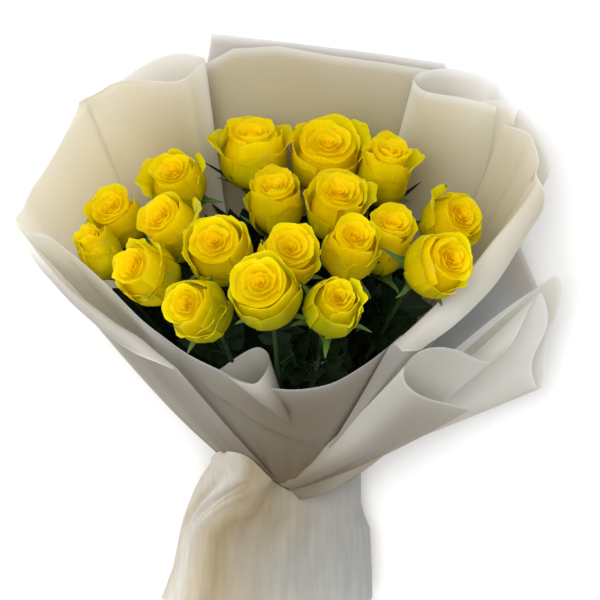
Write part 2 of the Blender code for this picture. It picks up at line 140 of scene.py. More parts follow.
RIGHT_PLEAT = [
    (-19, 0.6, 6, 187, 333, 50, 26, 1.8), (-21, 0.5, 6, 182, 341, 48, 29, 1.8),
    (-23, 0.5, 6, 173, 346, 46, 32, 1.8), (-25, 0.5, 6, 160, 345, 44, 33, 1.8),
]
RIGHT_TUBE = [
    (-27, 0.4, 6, 171, 343, 56, 34, 1.8), (-28, 0.3, 6, 160, 347, 57, 32, 1.8),
    (-29, 0.2, 6, 143, 350, 52, 25, 1.85), (-31, 0.2, 6, 119, 351, 38, 15, 1.9),
    (-32, 0.3, 6, 110, 353, 27, 6, 1.8), (-33, 0.5, 6, 106, 359, 18, 1, 1.5),
    (-34, 1, 6, 116, 363, 12, 0, 1.1), (-35, 1.6, 6, 132, 365, 11, 0, 1),
    (-35, 1.8, 6, 153, 362, 11, 0, 1), (-34, 1.9, 6, 169, 356, 14, 0, 1.1),
    (-33, 2, 6, 175, 350, 22, 0, 1), (-31, 2, 6, 173, 343, 34, 0, 1.2),
]
RIGHT_FLAP = [
    (56, 5, 6, 156, 93, 80, 4, 0.35), (68, 5, 6, 136, 101, 90, 6, 0.4),
    (80, 5.4, 8, 114, 114, 108, 8, 0.55), (92, 5.8, 11, 101, 127, 120, 7, 0.95),
    (100, 6.2, 15, 96, 140, 130, 4, 1.05), (98, 5.2, 13, 98, 152, 134, 4, 1.05),
    (92, 4.4, 10, 109, 162, 132, 5, 1), (84, 4, 8, 125, 161, 120, 6, 1),
    (76, 3.7, 6, 142, 153, 106, 7, 1), (68, 3.4, 5, 156, 143, 96, 8, 1.05),
    (60, 3.2, 4, 166, 138, 89, 8, 1.1), (52, 3, 3, 177, 141, 84, 8, 1.15),
    (44, 2.8, 3, 189, 154, 80, 8, 1.2), (36, 2.6, 3, 199, 176, 77, 7, 1.2),
    (28, 2.4, 3, 209, 191, 71, 6, 1.3), (20, 2.4, 4, 216, 178, 66, 5, 1.3),
    (12, 2.3, 4, 218, 160, 60, 5, 1.3), (6, 2.2, 5, 213, 143, 56, 4, 1.3),
    (0, 2.1, 5, 208, 128, 52, 4, 1.3), (-6, 2, 6, 208, 114, 48, 4, 1.2),
    (-11, 2, 6, 213, 99, 44, 3, 1), (-15, 1.9, 6, 219, 98, 39, 3, 0.9),
    (-17, 1.8, 6, 221, 110, 38, 3, 0.9), (-17, 1.7, 6, 220, 126, 39, 3, 0.95),
    (-16, 1.6, 6, 221, 146, 42, 3, 0.95), (-14, 1.5, 6, 228, 166, 46, 3, 0.95),
    (-12, 1.5, 6, 230, 187, 50, 3, 0.95), (-10, 1.5, 6, 224, 200, 52, 3, 0.95),
    (-8, 1.5, 6, 211, 189, 48, 2, 0.95), (-6, 1.5, 6, 196, 172, 42, 2, 0.95),
]
FLAP_UNDER = [
    (88, 5, 12, 110, 78, 68, 3, 0.45), (84, 4.8, 8, 99, 61, 66, 5, 0.4),
    (78, 4.6, 4, 78, 38, 61, 6, 0.34), (72, 4.4, 0, 56, 21, 57, 6, 0.3),
    (66, 4.2, -4, 29, 10, 50, 2, 0.26),
]
# The pleat that stands up from the front sheet's rim: round its mouth, then its point.
PLEAT_MOUTH = [
    (-50, 160, 170), (-41, 155, 174), (-31, 152, 178), (-22, 152, 180), (-16, 157, 178),
    (-12, 163, 172), (-11, 168, 164), (-14, 171, 157), (-20, 172, 152), (-28, 169, 151),
    (-38, 164, 155), (-46, 160, 162),
]
PLEAT_POINT = (8, 100, 143)
PLEAT_EDGE_HIGHLIGHT = 0.5            # how much of the painted edge highlight the mouth carries
# The flat sheets' far edges: side, place along and how far they curl up.
BACK_EDGE = [(-150, 188, 10), (-68, 330, 4), (-60, 393, 3), (4, 385, 0), (68, 377, 0),
             (132, 368, 3), (172, 272, 6), (214, 178, 14)]
BACK_NECK = 24.0
BACK_HEIGHT = 0.6
LINING_EDGE = [(-108, 262, 3), (-98, 330, 4), (-70, 366, 8), (-42, 381, 6), (-4, 383, 5),
               (40, 375, 5), (84, 369, 5), (124, 363, 8), (138, 318, 4), (146, 262, 3)]
LINING_NECK = 17.0
LINING_HEIGHT = 2.15
FLAT_START = 8.0            # where the flat sheets start, along
FLAT_SHARE = 0.75           # the share of their length that doesn't lift

# The handle's outline from above: place along, left side and right side.
HANDLE_SIDES = [(-108, -109, 77), (-78, -98, 76), (-42, -91, 74), (-30, -88, 69), (-18, -84, 66),
                (-4, -79, 66), (9, -73, 66), (24, -64, 66), (40, -62, 64), (60, -60, 62)]
HANDLE_HEIGHTS = (37.2, 52.0)
HANDLE_END = -108.0
HANDLE_FLARE = 0.8
HANDLE_FLATNESS = 1.4

# ------ camera and lamps (m)
CAMERA_AIM = (0.0130, -0.0152, 0.0711)
CAMERA_ELEVATION = 72.0     # degrees over the table, from the flowers' side
CAMERA_DISTANCE = 1.8
CAMERA_WIDTH = 0.492        # what the frame spans at the aim
CAMERA_SENSOR = 36.0
LIGHT_AIM = (0, 0, 0.05)


# ------ meshes
def show(name, data):
    """A new object of the scene, for a mesh, a lamp or a camera."""
    thing = bpy.data.objects.new(name, data)
    bpy.context.scene.collection.objects.link(thing)
    return thing


class Sheets:
    """Gathers grids of points, with named numbers for each point, into one piece."""

    def __init__(self, *names):
        self.points, self.quads, self.surfaces = [], [], []
        self.data = {name: [] for name in names}
        self.count = 0

    def add(self, grid, ring=False, surface=0, **data):
        """Adds a grid given from the tie; a ring closes on its first row."""
        rows, cols = grid.shape[:2]
        index = self.count + np.arange(rows * cols).reshape(rows, cols)
        if ring:
            index = np.vstack([index, index[:1]])
        quads = np.stack([index[:-1, :-1], index[1:, :-1], index[1:, 1:], index[:-1, 1:]], -1)
        self.points.append(placed(grid).reshape(-1, 3))
        self.quads.append(quads.reshape(-1, 4))
        self.surfaces.append(np.full(self.quads[-1].shape[0], surface))
        for name, values in self.data.items():
            values.append(np.broadcast_to(data.get(name, 0.0), (rows, cols)).reshape(-1))
        self.count += rows * cols

    def build(self, name, slot, node, *materials):
        """The finished piece: on the root, in place of the part's node if any. The slot is not
        used.
        """
        mesh = bpy.data.meshes.new(name)
        mesh.from_pydata(np.concatenate(self.points), [], np.concatenate(self.quads).tolist())
        mesh.polygons.foreach_set("material_index", np.concatenate(self.surfaces))
        for key, values in self.data.items():
            layer = mesh.attributes.new(key, "FLOAT", "POINT")
            layer.data.foreach_set("value", np.concatenate(values))
        mesh.shade_smooth()
        for material in materials:
            mesh.materials.append(material)
        piece = show(name, mesh)
        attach(piece, "root")
        if node:
            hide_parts(node)


def placed(points):
    """Points given from the tie in millimetres, in the frame's metres."""
    return (np.asarray(points, float) + (0.0, TIE_ALONG, 0.0)) * MM


def unit(vectors):
    return vectors / np.maximum(np.linalg.norm(vectors, axis=-1, keepdims=True), 1e-9)


def smooth_curve(knots, at):
    """Catmull-Rom values of the knots at the places `at`, counted in knots."""
    knots = np.asarray(knots, float)
    ends = np.vstack([2 * knots[0] - knots[1], knots, 2 * knots[-1] - knots[-2]])
    at = np.clip(np.asarray(at, float), 0, len(knots) - 1 - 1e-6)
    k = at.astype(int)
    f = (at - k)[:, None]
    a, b, c, d = (ends[k + i] for i in range(4))
    return 0.5 * (2 * b + (c - a) * f + (2 * a - 5 * b + 4 * c - d) * f ** 2
                  + (3 * b - a - 3 * c + d) * f ** 3)


def smooth_step(x, low=0.0, high=1.0):
    x = np.clip((x - low) / (high - low), 0, 1)
    return x * x * (3 - 2 * x)


def ripple(rng, waves, low, high):
    """A smooth random wave of one variable, between about -1 and 1."""
    rates = rng.uniform(low, high, waves)
    shifts = rng.uniform(0, 2 * pi, waves)
    sizes = rng.uniform(0.5, 1.0, waves)
    sizes /= sizes.sum()

    def wave(x):
        return sum(s * np.sin(r * x + p) for s, r, p in zip(sizes, rates, shifts))
    return wave


def circle(count):
    """Angles spread over a full turn."""
    return np.linspace(0, 2 * pi, count, endpoint=False)


# ------ colours
# Petal colours from the heart to the outermost layer: above, below and at the foot. The outer
# layers' darker, greener sides below and feet are partly their own green and partly painted
# shade.
PETAL_UPPER = [(0, (0.97, 0.71, 0.0003)), (0.3, (0.97, 0.76, 0.0003)),
               (0.6, (0.95, 0.77, 0.0004)), (0.85, (0.91, 0.77, 0.0005)),
               (1, (0.82, 0.73, 0.0006))]
PETAL_BELOW_AND_SHADE = [(0, (0.95, 0.66, 0.0003)), (0.5, (0.9, 0.67, 0.0003)),
               (0.8, (0.74, 0.6, 0.0005)), (1, (0.51, 0.47, 0.001))]
PETAL_FOOT_AND_SHADE = [(0, (0.85, 0.48, 0.0003)), (0.7, (0.34, 0.34, 0.001)), (1, (0.13, 0.16, 0.002))]
# Stem greens near black: their own dark green darkened to the deep shade among the leaves,
# partly painted shade.
STEM_SHADED_TINTS = [(0.3, (0.007, 0.019, 0.004)), (0.5, (0.013, 0.031, 0.006)),
              (0.72, (0.028, 0.03, 0.01))]
# Painted light and shade along the sheets' column of it: taupe for the shade
# over the dark stems, the film's own pale grey where it lies free, then cream
# beside the flowers, a painted reflection of their yellow.
FILM_LIGHT_AND_SHADE = [(0, (0.25, 0.2, 0.125)), (0.175, (0.31, 0.275, 0.22)), (0.3, (0.42, 0.39, 0.33)),
              (0.45, (0.58, 0.55, 0.48)), (0.65, (0.76, 0.75, 0.72)), (0.85, (0.62, 0.58, 0.44)),
              (1, (0.5, 0.42, 0.23))]
# Painted shade: the film darkens towards the neck.
FILM_NECK_SHADE = [(0, (0.74, 0.66, 0.54)), (0.25, (0.86, 0.81, 0.73)), (0.55, (1, 1, 1))]
# The back sheet's blue-grey: the frosted film in shadow behind the roll, painted shade.
BACK_SHADE_TINTS = [(0, (0.48, 0.53, 0.58)), (0.86, (0.5, 0.54, 0.57)), (0.97, (0.46, 0.42, 0.38))]
# The handle film's painted light and shade: pale on its lit left side, brown in the painted
# crease shadows, grey on its shaded right side.
HANDLE_LIGHT_AND_SHADE = [(0, (0.72, 0.69, 0.62)), (0.2, (0.62, 0.56, 0.45)), (0.38, (0.52, 0.44, 0.3)),
                (0.5, (0.36, 0.27, 0.15)), (0.62, (0.4, 0.34, 0.24)), (0.8, (0.42, 0.38, 0.31)),
                (1, (0.4, 0.41, 0.4))]
CLEAR_TINT = (0.97, 0.97, 0.96)


# ------ materials
class Nodes:
    """A material's node tree, with short calls that add and join nodes."""

    def __init__(self, name):
        self.material = bpy.data.materials.new(name)
        self.material.use_nodes = True
        self.tree = self.material.node_tree
        self.shader = self.tree.nodes["Principled BSDF"]

    def put(self, value, socket):
        """Joins a source to a socket, or sets the socket to a number or a colour."""
        if isinstance(value, bpy.types.NodeSocket):
            self.tree.links.new(value, socket)
        else:
            socket.default_value = (*value, 1.0) if socket.type == "RGBA" else value

    def add(self, kind, inputs, out=0, **settings):
        """Adds a node, fills its inputs and gives one of its outputs."""
        node = self.tree.nodes.new("ShaderNode" + kind)
        for key, value in settings.items():
            setattr(node, key, value)
        for key, value in inputs.items():
            self.put(value, node.inputs[key])
        return node.outputs[out]

    def attribute(self, name):
        return self.add("Attribute", {}, "Fac", attribute_name=name)

    def ramp(self, value, stops):
        node = self.tree.nodes.new("ShaderNodeValToRGB")
        while len(node.color_ramp.elements) < len(stops):
            node.color_ramp.elements.new(0.5)
        for element, (place, colour) in zip(node.color_ramp.elements, stops):
            element.position = place
            element.color = (*colour, 1.0)
        self.put(value, node.inputs["Fac"])
        return node.outputs["Color"]

    def fade(self, value, low, high, start=0.0, end=1.0):
        """A grey ramp from start, where the value is low, to end, where it is high."""
        return self.ramp(value, [(low, (start,) * 3), (high, (end,) * 3)])

    def noise(self, scale, detail=3.0, stretch=None):
        place = self.add("TexCoord", {}, "Object")
        if stretch:
            place = self.add("Mapping", {"Vector": place, "Scale": stretch})
        return self.add("TexNoise", {"Vector": place, "Scale": scale, "Detail": detail})

    def math(self, kind, *values):
        return self.add("Math", dict(enumerate(values)), operation=kind)

    def times(self, a, b):
        return self.math("MULTIPLY", a, b)

    def mix(self, factor, a, b, kind="MIX"):
        return self.add("Mix", {0: factor, 6: a, 7: b}, 2, data_type="RGBA", blend_type=kind)

    def surface(self, colour, roughness, specular=0.5):
        self.put(colour, self.shader.inputs["Base Color"])
        self.put(roughness, self.shader.inputs["Roughness"])
        self.put(specular, self.shader.inputs["Specular IOR Level"])

    def bump(self, height, distance, strength):
        normal = self.add("Bump", {"Height": height, "Distance": distance, "Strength": strength})
        self.put(normal, self.shader.inputs["Normal"])
        return normal

    def thin(self, colour, share, normal, clear=0.0):
        """Lets a share of the light through a thin sheet, scattered, and some of it clear."""
        glow = self.add("BsdfTranslucent", {"Color": colour, "Normal": normal})
        last = self.add("MixShader", {0: share, 1: self.shader.outputs["BSDF"], 2: glow})
        if clear:
            sight = self.add("BsdfTransparent", {"Color": CLEAR_TINT})
            last = self.add("MixShader", {0: clear, 1: last, 2: sight})
        self.put(last, self.tree.nodes["Material Output"].inputs["Surface"])


def petal_material():
    """Yellow petals: deeper towards the foot and the outer layers, partly their own colour and
    partly painted shade on the lower sides, with patches and veins; painted shade under the
    front heads.
    """
    n = Nodes("rose_petal")
    layer, rise, across = (n.attribute(k) for k in ("layer", "rise", "across"))
    outer = n.fade(layer, 0.7, 0.95)
    body = n.mix(n.fade(rise, 0.4, 0.88), n.ramp(layer, PETAL_BELOW_AND_SHADE), n.ramp(layer, PETAL_UPPER))
    body = n.mix(n.fade(rise, 0.1, 0.46, 1, 0), body, n.ramp(layer, PETAL_FOOT_AND_SHADE))
    gold = n.fade(n.noise(38, 2), 0.5, 0.68, 0, 0.5)
    body = n.mix(gold, body, (0.93, 0.70, 0.0003))
    lemon = n.fade(n.noise(62, 2, (1, 1.3, 0.8)), 0.5, 0.75, 0, 0.5)
    body = n.mix(lemon, body, (0.76, 0.72, 0.001))
    patch = n.fade(n.noise(45, 2, (1.6, 0.7, 1.6)), 0.6, 0.72, 0, 0.55)
    body = n.mix(n.times(outer, patch), body, (0.58, 0.60, 0.12))
    pale = n.fade(rise, 0.93, 1, 0, 0.5)
    body = n.mix(n.times(pale, layer), body, (0.86, 0.84, 0.06))
    # painted shade: the front heads' lower petals are darkened and made a little greener
    under = n.times(n.attribute("green"), n.fade(rise, 0.5, 0.97, 1, 0))
    body = n.mix(under, body, (0.58, 0.66, 0.6), "MULTIPLY")
    rust = n.times(n.fade(n.noise(26, 1), 0.67, 0.71, 0, 0.9), n.fade(rise, 0.93, 0.985))
    body = n.mix(n.times(rust, outer), body, (0.16, 0.06, 0.01))
    spread = n.add("CombineXYZ", {"X": n.times(across, 16), "Y": n.times(rise, 2),
                                  "Z": n.times(layer, 40)})
    veins = n.add("TexNoise", {"Vector": spread, "Scale": 1, "Detail": 3})
    streak = n.ramp(veins, [(0.35, (0.95, 0.94, 0.95)), (0.65, (1, 1, 1))])
    body = n.mix(1, body, streak, "MULTIPLY")
    n.surface(body, 0.55, 0.04)
    n.thin(body, 0.6, n.bump(veins, 0.0004, 0.3))
    return n.material


def green_material(name, dark, light, rough, shine, glow):
    """Leaf or sepal: veins from the blade's own numbers, and a paler midrib."""
    n = Nodes(name)
    rise, away = n.attribute("rise"), n.math("ABSOLUTE", n.attribute("across"))
    vein = n.times(n.math("SUBTRACT", rise, n.times(away, 0.18)), 28)
    ridge = n.fade(n.math("ABSOLUTE", n.math("SINE", vein)), 0, 0.22, 1, 0)
    rib = n.fade(away, 0, 0.1, 1, 0)
    spots = n.noise(180)
    body = n.mix(n.times(ridge, 0.25), n.mix(spots, dark, light), light)
    body = n.mix(n.times(rib, 0.7), body, tuple(2.2 * c for c in light))
    body = n.mix(n.fade(away, 0.9, 1, 0, 0.5), body, tuple(1.6 * c for c in light))
    n.surface(body, rough, shine)
    normal = n.bump(n.math("ADD", ridge, spots), 0.0006, 0.5)
    n.thin(n.mix(1, body, (0.9, 1.0, 0.3), "MULTIPLY"), glow, normal)
    return n.material


def plain_material(name, noise, stops, roughness, specular=0.5, bump=None):
    """One noise colours the surface and, where bump is given, roughens it."""
    n = Nodes(name)
    grain = n.noise(*noise)
    n.surface(n.ramp(grain, stops), roughness, specular)
    if bump:
        n.bump(grain, *bump)
    return n.material


def film_material(name, tints, attribute, rim_light, through=0.4, clear=0.06, lines=1.0):
    """Frosted film: a satin face coloured by painted light and shade, with painted shade towards
    the neck and a painted highlight paling it towards the rim and bluish at its cut edges, light
    scattered through it.
    """
    n = Nodes(name)
    edge, rise = n.attribute("edge"), n.attribute("rise")
    shift = n.times(n.math("SUBTRACT", n.noise(9, 2), 0.5), 0.16)
    body = n.ramp(n.math("ADD", n.attribute(attribute), shift), tints)
    # painted shade towards the neck
    body = n.mix(1, body, n.ramp(rise, FILM_NECK_SHADE), "MULTIPLY")
    comb = n.fade(n.noise(230, 1, (1, 0.02, 1)), 0.35, 0.65, lines, 1)
    body = n.mix(1, body, comb, "MULTIPLY")
    # painted highlight: the film pales towards its rim
    body = n.mix(n.times(n.math("POWER", rise, 12), rim_light), body, (0.66, 0.65, 0.62))
    # painted highlight: bluish paling at the cut edges
    body = n.mix(n.times(edge, 0.55), body, (0.78, 0.81, 0.87))
    n.surface(body, 0.4, 0.4)
    fine = n.times(n.noise(420, 2, (1, 0.25, 1)), 0.05)
    normal = n.bump(n.math("ADD", fine, n.noise(24, 3, (1, 0.35, 1))), 0.0012, 0.3)
    n.thin(n.mix(0.3, body, (1.0, 0.95, 0.85)), through, normal, clear)
    return n.material


# ------ roses
# How each rose differs from its solid: openness of the face, its nod towards
# the front and its roll to the right in degrees, how far it outgrows the
# solid's width and length, and its shifts to the right and away in millimetres.
LOOKS = [
    (0.92, 10, 6, 1, 1.18, 1, -5), (1.02, 26, -2, 0.96, 1.1, -4, -11),
    (0.86, 14, -4, 0.94, 1.12, -9, -5), (0.84, 28, 2, 1, 1.12, 4, -6),
    (0.94, 8, -2, 0.98, 1.1, -2, 0), (1.04, 12, 0, 0.96, 1.08, -6, 0),
    (1.06, 4, -4, 0.98, 1.12, -7, -5), (0.84, 28, 8, 0.94, 1.04, -5, 0),
    (1, 20, 4, 0.97, 1.08, 0, -2), (0.94, 14, -14, 0.98, 1.14, 2, -7),
    (0.56, 0, 4, 1, 1.1, 1, -2), (0.78, 16, -14, 1.02, 1.08, 2, 2),
    (0.9, 16, 0, 1.02, 1.06, 1, 5), (0.94, 14, 8, 1.06, 1.08, -6, 3),
    (0.82, 12, -2, 1.02, 1.1, -2, 3), (0.82, 22, 12, 0.98, 1.06, -1, 3),
    (0.95, 4, -8, 1.02, 1.1, 1, 0), (0.74, 14, -14, 1, 1.08, -1, 7),
    (0.68, 6, 4, 1.02, 1.1, -2, 9),
]

# Petals that stand away from a head: turn round it (0 right, -90 front),
# width in degrees, height as a share of the head, lean and roll.
LOOSE = {
    1: [(-174, 96, 0.8, 9, 100), (6, 104, 0.86, 8, 60), (-66, 120, 0.74, 3, 60),
        (-128, 110, 0.64, 2, 50)],
    2: [(12, 100, 0.96, 8, 70), (-35, 116, 0.84, 3, 60), (-140, 110, 0.74, 3, 50)],
    3: [(-8, 96, 0.92, 7, 50), (178, 110, 0.8, 3, 40), (-80, 100, 0.66, 2, 50)],
    4: [(166, 92, 0.78, 9, 80), (4, 92, 0.9, 7, 30), (-100, 110, 0.7, 2, 50)],
    5: [(-50, 116, 0.72, 2, 60), (170, 104, 0.66, 3, 60), (60, 110, 0.86, 1, 50)],
    6: [(6, 104, 0.92, 6, 80), (-160, 110, 0.74, 5, 60), (-80, 110, 0.62, 2, 50)],
    7: [(-140, 110, 0.74, 1, 50), (-30, 110, 0.6, 1, 50)],
    8: [(160, 96, 0.9, 8, 90), (-24, 90, 0.68, 5, 50), (-120, 104, 0.68, 3, 60)],
    9: [(-160, 104, 0.7, 3, 80), (-70, 104, 0.64, 2, 60)],
    10: [(-4, 92, 0.74, 9, 120), (-110, 116, 0.66, 3, 80), (-60, 104, 0.78, 3, 90),
        (90, 110, 0.9, 1, 50)],
    11: [(-10, 112, 0.9, 1, 50), (-110, 120, 0.8, 0, 40), (120, 110, 0.94, 0, 40),
        (-60, 110, 0.66, 2, 60)],
    12: [(14, 100, 0.86, 5, 90), (-34, 96, 0.72, 4, 90), (-120, 110, 0.74, 1, 60),
        (-75, 100, 0.62, 2, 80), (70, 100, 0.92, 2, 60)],
    13: [(176, 104, 0.82, 2, 80), (-70, 116, 0.66, 1, 60), (20, 100, 0.86, 2, 60)],
    14: [(-40, 112, 0.7, 2, 60), (-150, 110, 0.84, 1, 50)],
    15: [(-60, 112, 0.72, 2, 80), (-150, 108, 0.8, 1, 70), (10, 100, 0.74, 1, 70)],
    16: [(172, 108, 0.84, 4, 70), (-110, 106, 0.72, 2, 60), (-40, 100, 0.8, 1, 50)],
    17: [(-50, 118, 0.72, 1, 50), (-150, 110, 0.8, 1, 50)],
    18: [(-2, 112, 0.9, 2, 50), (-48, 100, 0.74, 3, 70), (-100, 104, 0.62, 2, 70),
        (-30, 90, 0.56, 3, 80)],
    19: [(-120, 116, 0.84, 1, 60), (10, 100, 0.96, 2, 40), (-50, 100, 0.7, 1, 70),
        (170, 110, 0.88, 0, 50)],
}

SHADED_HEADS = {13: 0.4, 17: 1.0, 18: 0.8, 19: 1.0}        # heads whose undersides get painted shade, a little greener

GOLDEN = radians(137.5)
PETAL_ACROSS, PETAL_ALONG = 21, 19          # a petal's points
BED_ACROSS, BED_RINGS = 60, 16
# The wound petals from the heart outwards, as shares of half the head's width:
# rim, throat under the rim and belly; then the height as a share of the head,
# the width in degrees, the rim's roll in degrees and its radius in mm.
WOUND = [
    (0.005, 0.04, 0.28, 0.94, 340, 0, 1), (0.06, 0.05, 0.31, 0.94, 300, 0, 1),
    (0.11, 0.05, 0.35, 0.93, 280, 5, 1), (0.16, 0.08, 0.39, 0.935, 250, 10, 1),
    (0.21, 0.12, 0.43, 0.93, 230, 15, 1), (0.27, 0.17, 0.48, 0.935, 210, 20, 1.2),
    (0.34, 0.22, 0.53, 0.94, 195, 25, 1.2), (0.41, 0.28, 0.59, 0.945, 182, 30, 1.4),
    (0.49, 0.35, 0.65, 0.95, 172, 35, 1.6), (0.57, 0.43, 0.72, 0.96, 166, 40, 1.8),
    (0.66, 0.52, 0.79, 0.97, 160, 45, 2), (0.76, 0.62, 0.86, 0.98, 156, 50, 2.2),
    (0.87, 0.74, 0.93, 0.98, 150, 55, 2.4), (0.96, 0.84, 0.97, 0.95, 146, 58, 2.6),
    (1.02, 0.92, 1, 0.88, 140, 60, 2.6),
]
RIM_ROOM = 3.0              # what the outermost rims add to a head's half width


def head_frame(number):
    """The head's foot, and its axes: right, away from the front, and along the head."""
    side, lift, reach, _, length = ROSES[number - 1]
    _, nod, roll, _, _, right, away = LOOKS[number - 1]
    side, lift = radians(side), radians(lift)
    way = np.array((sin(side) * cos(lift), cos(side) * cos(lift), sin(lift)))
    centre = np.array((right, away, TIE_HEIGHT)) + way * reach
    right = unit(np.array((1.0, 0, 0)) - way * way[0])
    lean = unit(way + tan(radians(nod)) * np.cross(right, way) + tan(radians(roll)) * right)
    right = unit(np.array((1.0, 0, 0)) - lean * lean[0])
    return centre - lean * (length / 2), np.stack([right, np.cross(lean, right), lean])


def petal(rng, centre, span, foot, belly, throat, rim, height, roll, bend, ruffle, corner,
          side_curl):
    """One petal round the head's axis, as a grid in millimetres from the head's foot."""
    u = np.linspace(-1, 1, PETAL_ACROSS)[:, None]
    s = 1 - (1 - np.linspace(0, 1, PETAL_ALONG)[None, :]) ** 1.4
    wave, edge_wave = ripple(rng, 4, 1.0, 4.5), ripple(rng, 5, 3.0, 11.0)
    skew = rng.uniform(-0.25, 0.25)
    full = radians(roll) * (1 + 0.3 * wave(u + 3)) * (0.8 + 0.4 * u ** 2)
    total = height + bend * radians(roll)
    point = np.exp(-((u - skew) / 0.16) ** 2)
    reach = 1 - corner * np.abs(u - 0.2 * skew) ** 2.4 + (0.02 + 0.5 * corner) * point
    reach = reach + 0.20 * corner * edge_wave(u * 3) + 0.02 * wave(u * 2 + 5)
    along = s * reach * total
    t = np.minimum(along / height, 1.0)
    knots = np.array([(foot, 0), (0.54 * belly, 0.10), (0.84 * belly, 0.29),
                      (belly, 0.53), (throat, 0.84), (rim, 1.0)])
    line = smooth_curve(knots, t.ravel() * 5).reshape(*t.shape, 2)
    radius, rise = line[..., 0], line[..., 1] * height
    lean = atan2(rim - throat, 0.16 * height)
    turn = np.minimum(np.maximum(along - height, 0) / bend, full)
    radius = radius + bend * (cos(lean) - np.cos(lean + turn))
    rise = rise + bend * (np.sin(lean + turn) - sin(lean))
    curl = side_curl * smooth_step(np.abs(u), 0.35, 1.1) ** 1.5 * t ** 2
    radius = radius + 0.03 * belly * u * t + ruffle * t ** 3 * wave(u * 2 + 1) + curl
    radius = radius + 0.35 * ruffle * t * wave(u * 1.5 + 3 * t + 7) * edge_wave(t * 2 + 4)
    rise = rise + ruffle * t ** 3 * edge_wave(u + 2) - 0.4 * curl
    width = 0.42 + 0.58 * np.sin(0.5 * pi * np.minimum(s / 0.55, 1))
    angle = centre + u * radians(span) / 2 * width
    return np.stack([radius * np.cos(angle), radius * np.sin(angle), rise], -1), s, u


def heart_bed(rng, size, length):
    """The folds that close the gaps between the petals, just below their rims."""
    turn = circle(BED_ACROSS)[:, None]
    r = np.linspace(0.02, 1.0, BED_RINGS)[None, :]
    wave = ripple(rng, 4, 1.0, 3.0)
    rise = length * (0.85 + 0.035 * r ** 2) + 0.5 * np.sin(3 * turn + 16 * r + 2 * wave(r * 4))
    return np.stack([0.84 * size * r * np.cos(turn), 0.84 * size * r * np.sin(turn), rise], -1)


def add_rose(number, material):
    """A head: its wound petals, the bed between them and the loose ones outside."""
    rng = np.random.default_rng(100 + number)
    rose, (openness, _, _, widen, lengthen, _, _) = ROSES[number - 1], LOOKS[number - 1]
    foot, axes = head_frame(number)
    size, length = rose[3] / 2 * widen - RIM_ROOM, rose[4] * lengthen
    sheets = Sheets("layer", "rise", "across", "green")
    green = SHADED_HEADS.get(number, 0.0)
    start = rng.uniform(0, 2 * pi)
    drift = rng.uniform(-0.06, 0.06, 2) * size
    for i, (rim, throat, belly, tall, span, roll, bend) in enumerate(WOUND):
        q = i / (len(WOUND) - 1)
        a, b, c, d = rng.uniform(-1, 1, 4)
        grow = 1 + 0.05 * a * q
        cup = smooth_step(q, 0.8, 1.0)
        throat = throat * openness * (1 - cup) + (0.45 * belly + 0.55 * rim * openness) * cup
        grid, rise, across = petal(
            rng, start + i * GOLDEN + 0.25 * b, span * (1 + 0.06 * c),
            0.12 * size + 0.04 * size * q, belly * size, throat * size * grow,
            rim * openness * size * grow, tall * length * (1 + 0.025 * d) - 0.04 * length,
            roll * (1 + 0.3 * c), bend, 0.3 + 1.9 * q, 0.03 + 0.10 * q, 1.2 * q)
        shift = np.zeros(grid.shape)
        shift[..., :2] = drift * (1 - q) * rise[..., None] ** 2
        sheets.add(foot + (grid + shift + (0, 0, 0.04 * length)) @ axes,
                   layer=0.85 * q, rise=rise, across=across, green=green * q)
    bed = heart_bed(rng, openness * size, length)
    bed[..., :2] += drift * 0.5
    sheets.add(foot + bed @ axes, ring=True, layer=0.35, rise=0.9)
    for turn, span, tall, lean, roll in LOOSE[number]:
        cling = size * (1 - 0.5 * (1 - openness)) * (1.06 - 0.1 * tall)
        grid, rise, across = petal(
            rng, radians(turn), span, 0.17 * size, 1.02 * size, cling + 0.3 * lean,
            cling + lean, tall * length, roll, 2.2, 2.7, 0.18, 3.0)
        sheets.add(foot + grid @ axes, layer=1.0, rise=rise, across=across, green=green)
    sheets.build(f"rose_{number:02d}", "petal_yellow", f"rose_head_{number:02d}", material)


# ------ stems
def match_slots():
    """Each rose's place in the tie, on its own side, as in the part."""
    order = sorted(range(len(ROSES)), key=lambda i: ROSES[i][1])
    pick = {}
    for row, count in enumerate(SLOT_ROWS):
        members, order = order[:count], order[count:]
        for k, i in enumerate(sorted(members, key=lambda i: ROSES[i][0])):
            pick[i] = ((k - (count - 1) / 2) * STEM_PITCH,
                       (row - len(SLOT_ROWS) // 2) * STEM_PITCH * sqrt(3) / 2)
    return pick


def stem_route(foot, slot):
    """Knots from the cut end, through the tie, to the underside of the head."""
    x, z = slot
    tail = np.array((x * TAIL_SPREAD, -STEM_TAIL, TIE_HEIGHT + z * TAIL_SPREAD))
    low = np.array((x, -STRAIGHT_RUN, TIE_HEIGHT + z))
    high = np.array((x, STRAIGHT_RUN, TIE_HEIGHT + z))
    route = [tail, (tail + low) / 2, low, high]
    route += [high + (foot - high) * f for f in (0.25, 0.5, 0.75)]
    return np.array(route + [foot])


STEM_SIDES = 12
STEM_RINGS = 70
THORNS = 7
THORN_CELLS = 6
FOOT_SWELL = (1.05, 1.2, 1.5, 1.9)          # how the last rings widen under the head
CUT_STEPS = (0.0, 0.15, 0.2, 0.2)           # the cut end: steps out and shares of the radius
CUT_SHARES = (1, 0.9, 0.5, 0.02)


def tube(path, radii, sides=STEM_SIDES, way=None):
    """A grid of rings along a path, each square to it or to the way given."""
    way = unit(np.gradient(path, axis=0) if way is None else way)
    across = unit(np.cross(way, (0.0, 0.0, 1.0)))
    turn = circle(sides)[:, None, None]
    ring = np.cos(turn) * across + np.sin(turn) * np.cross(across, way)
    return path + ring * np.asarray(radii)[None, :, None]


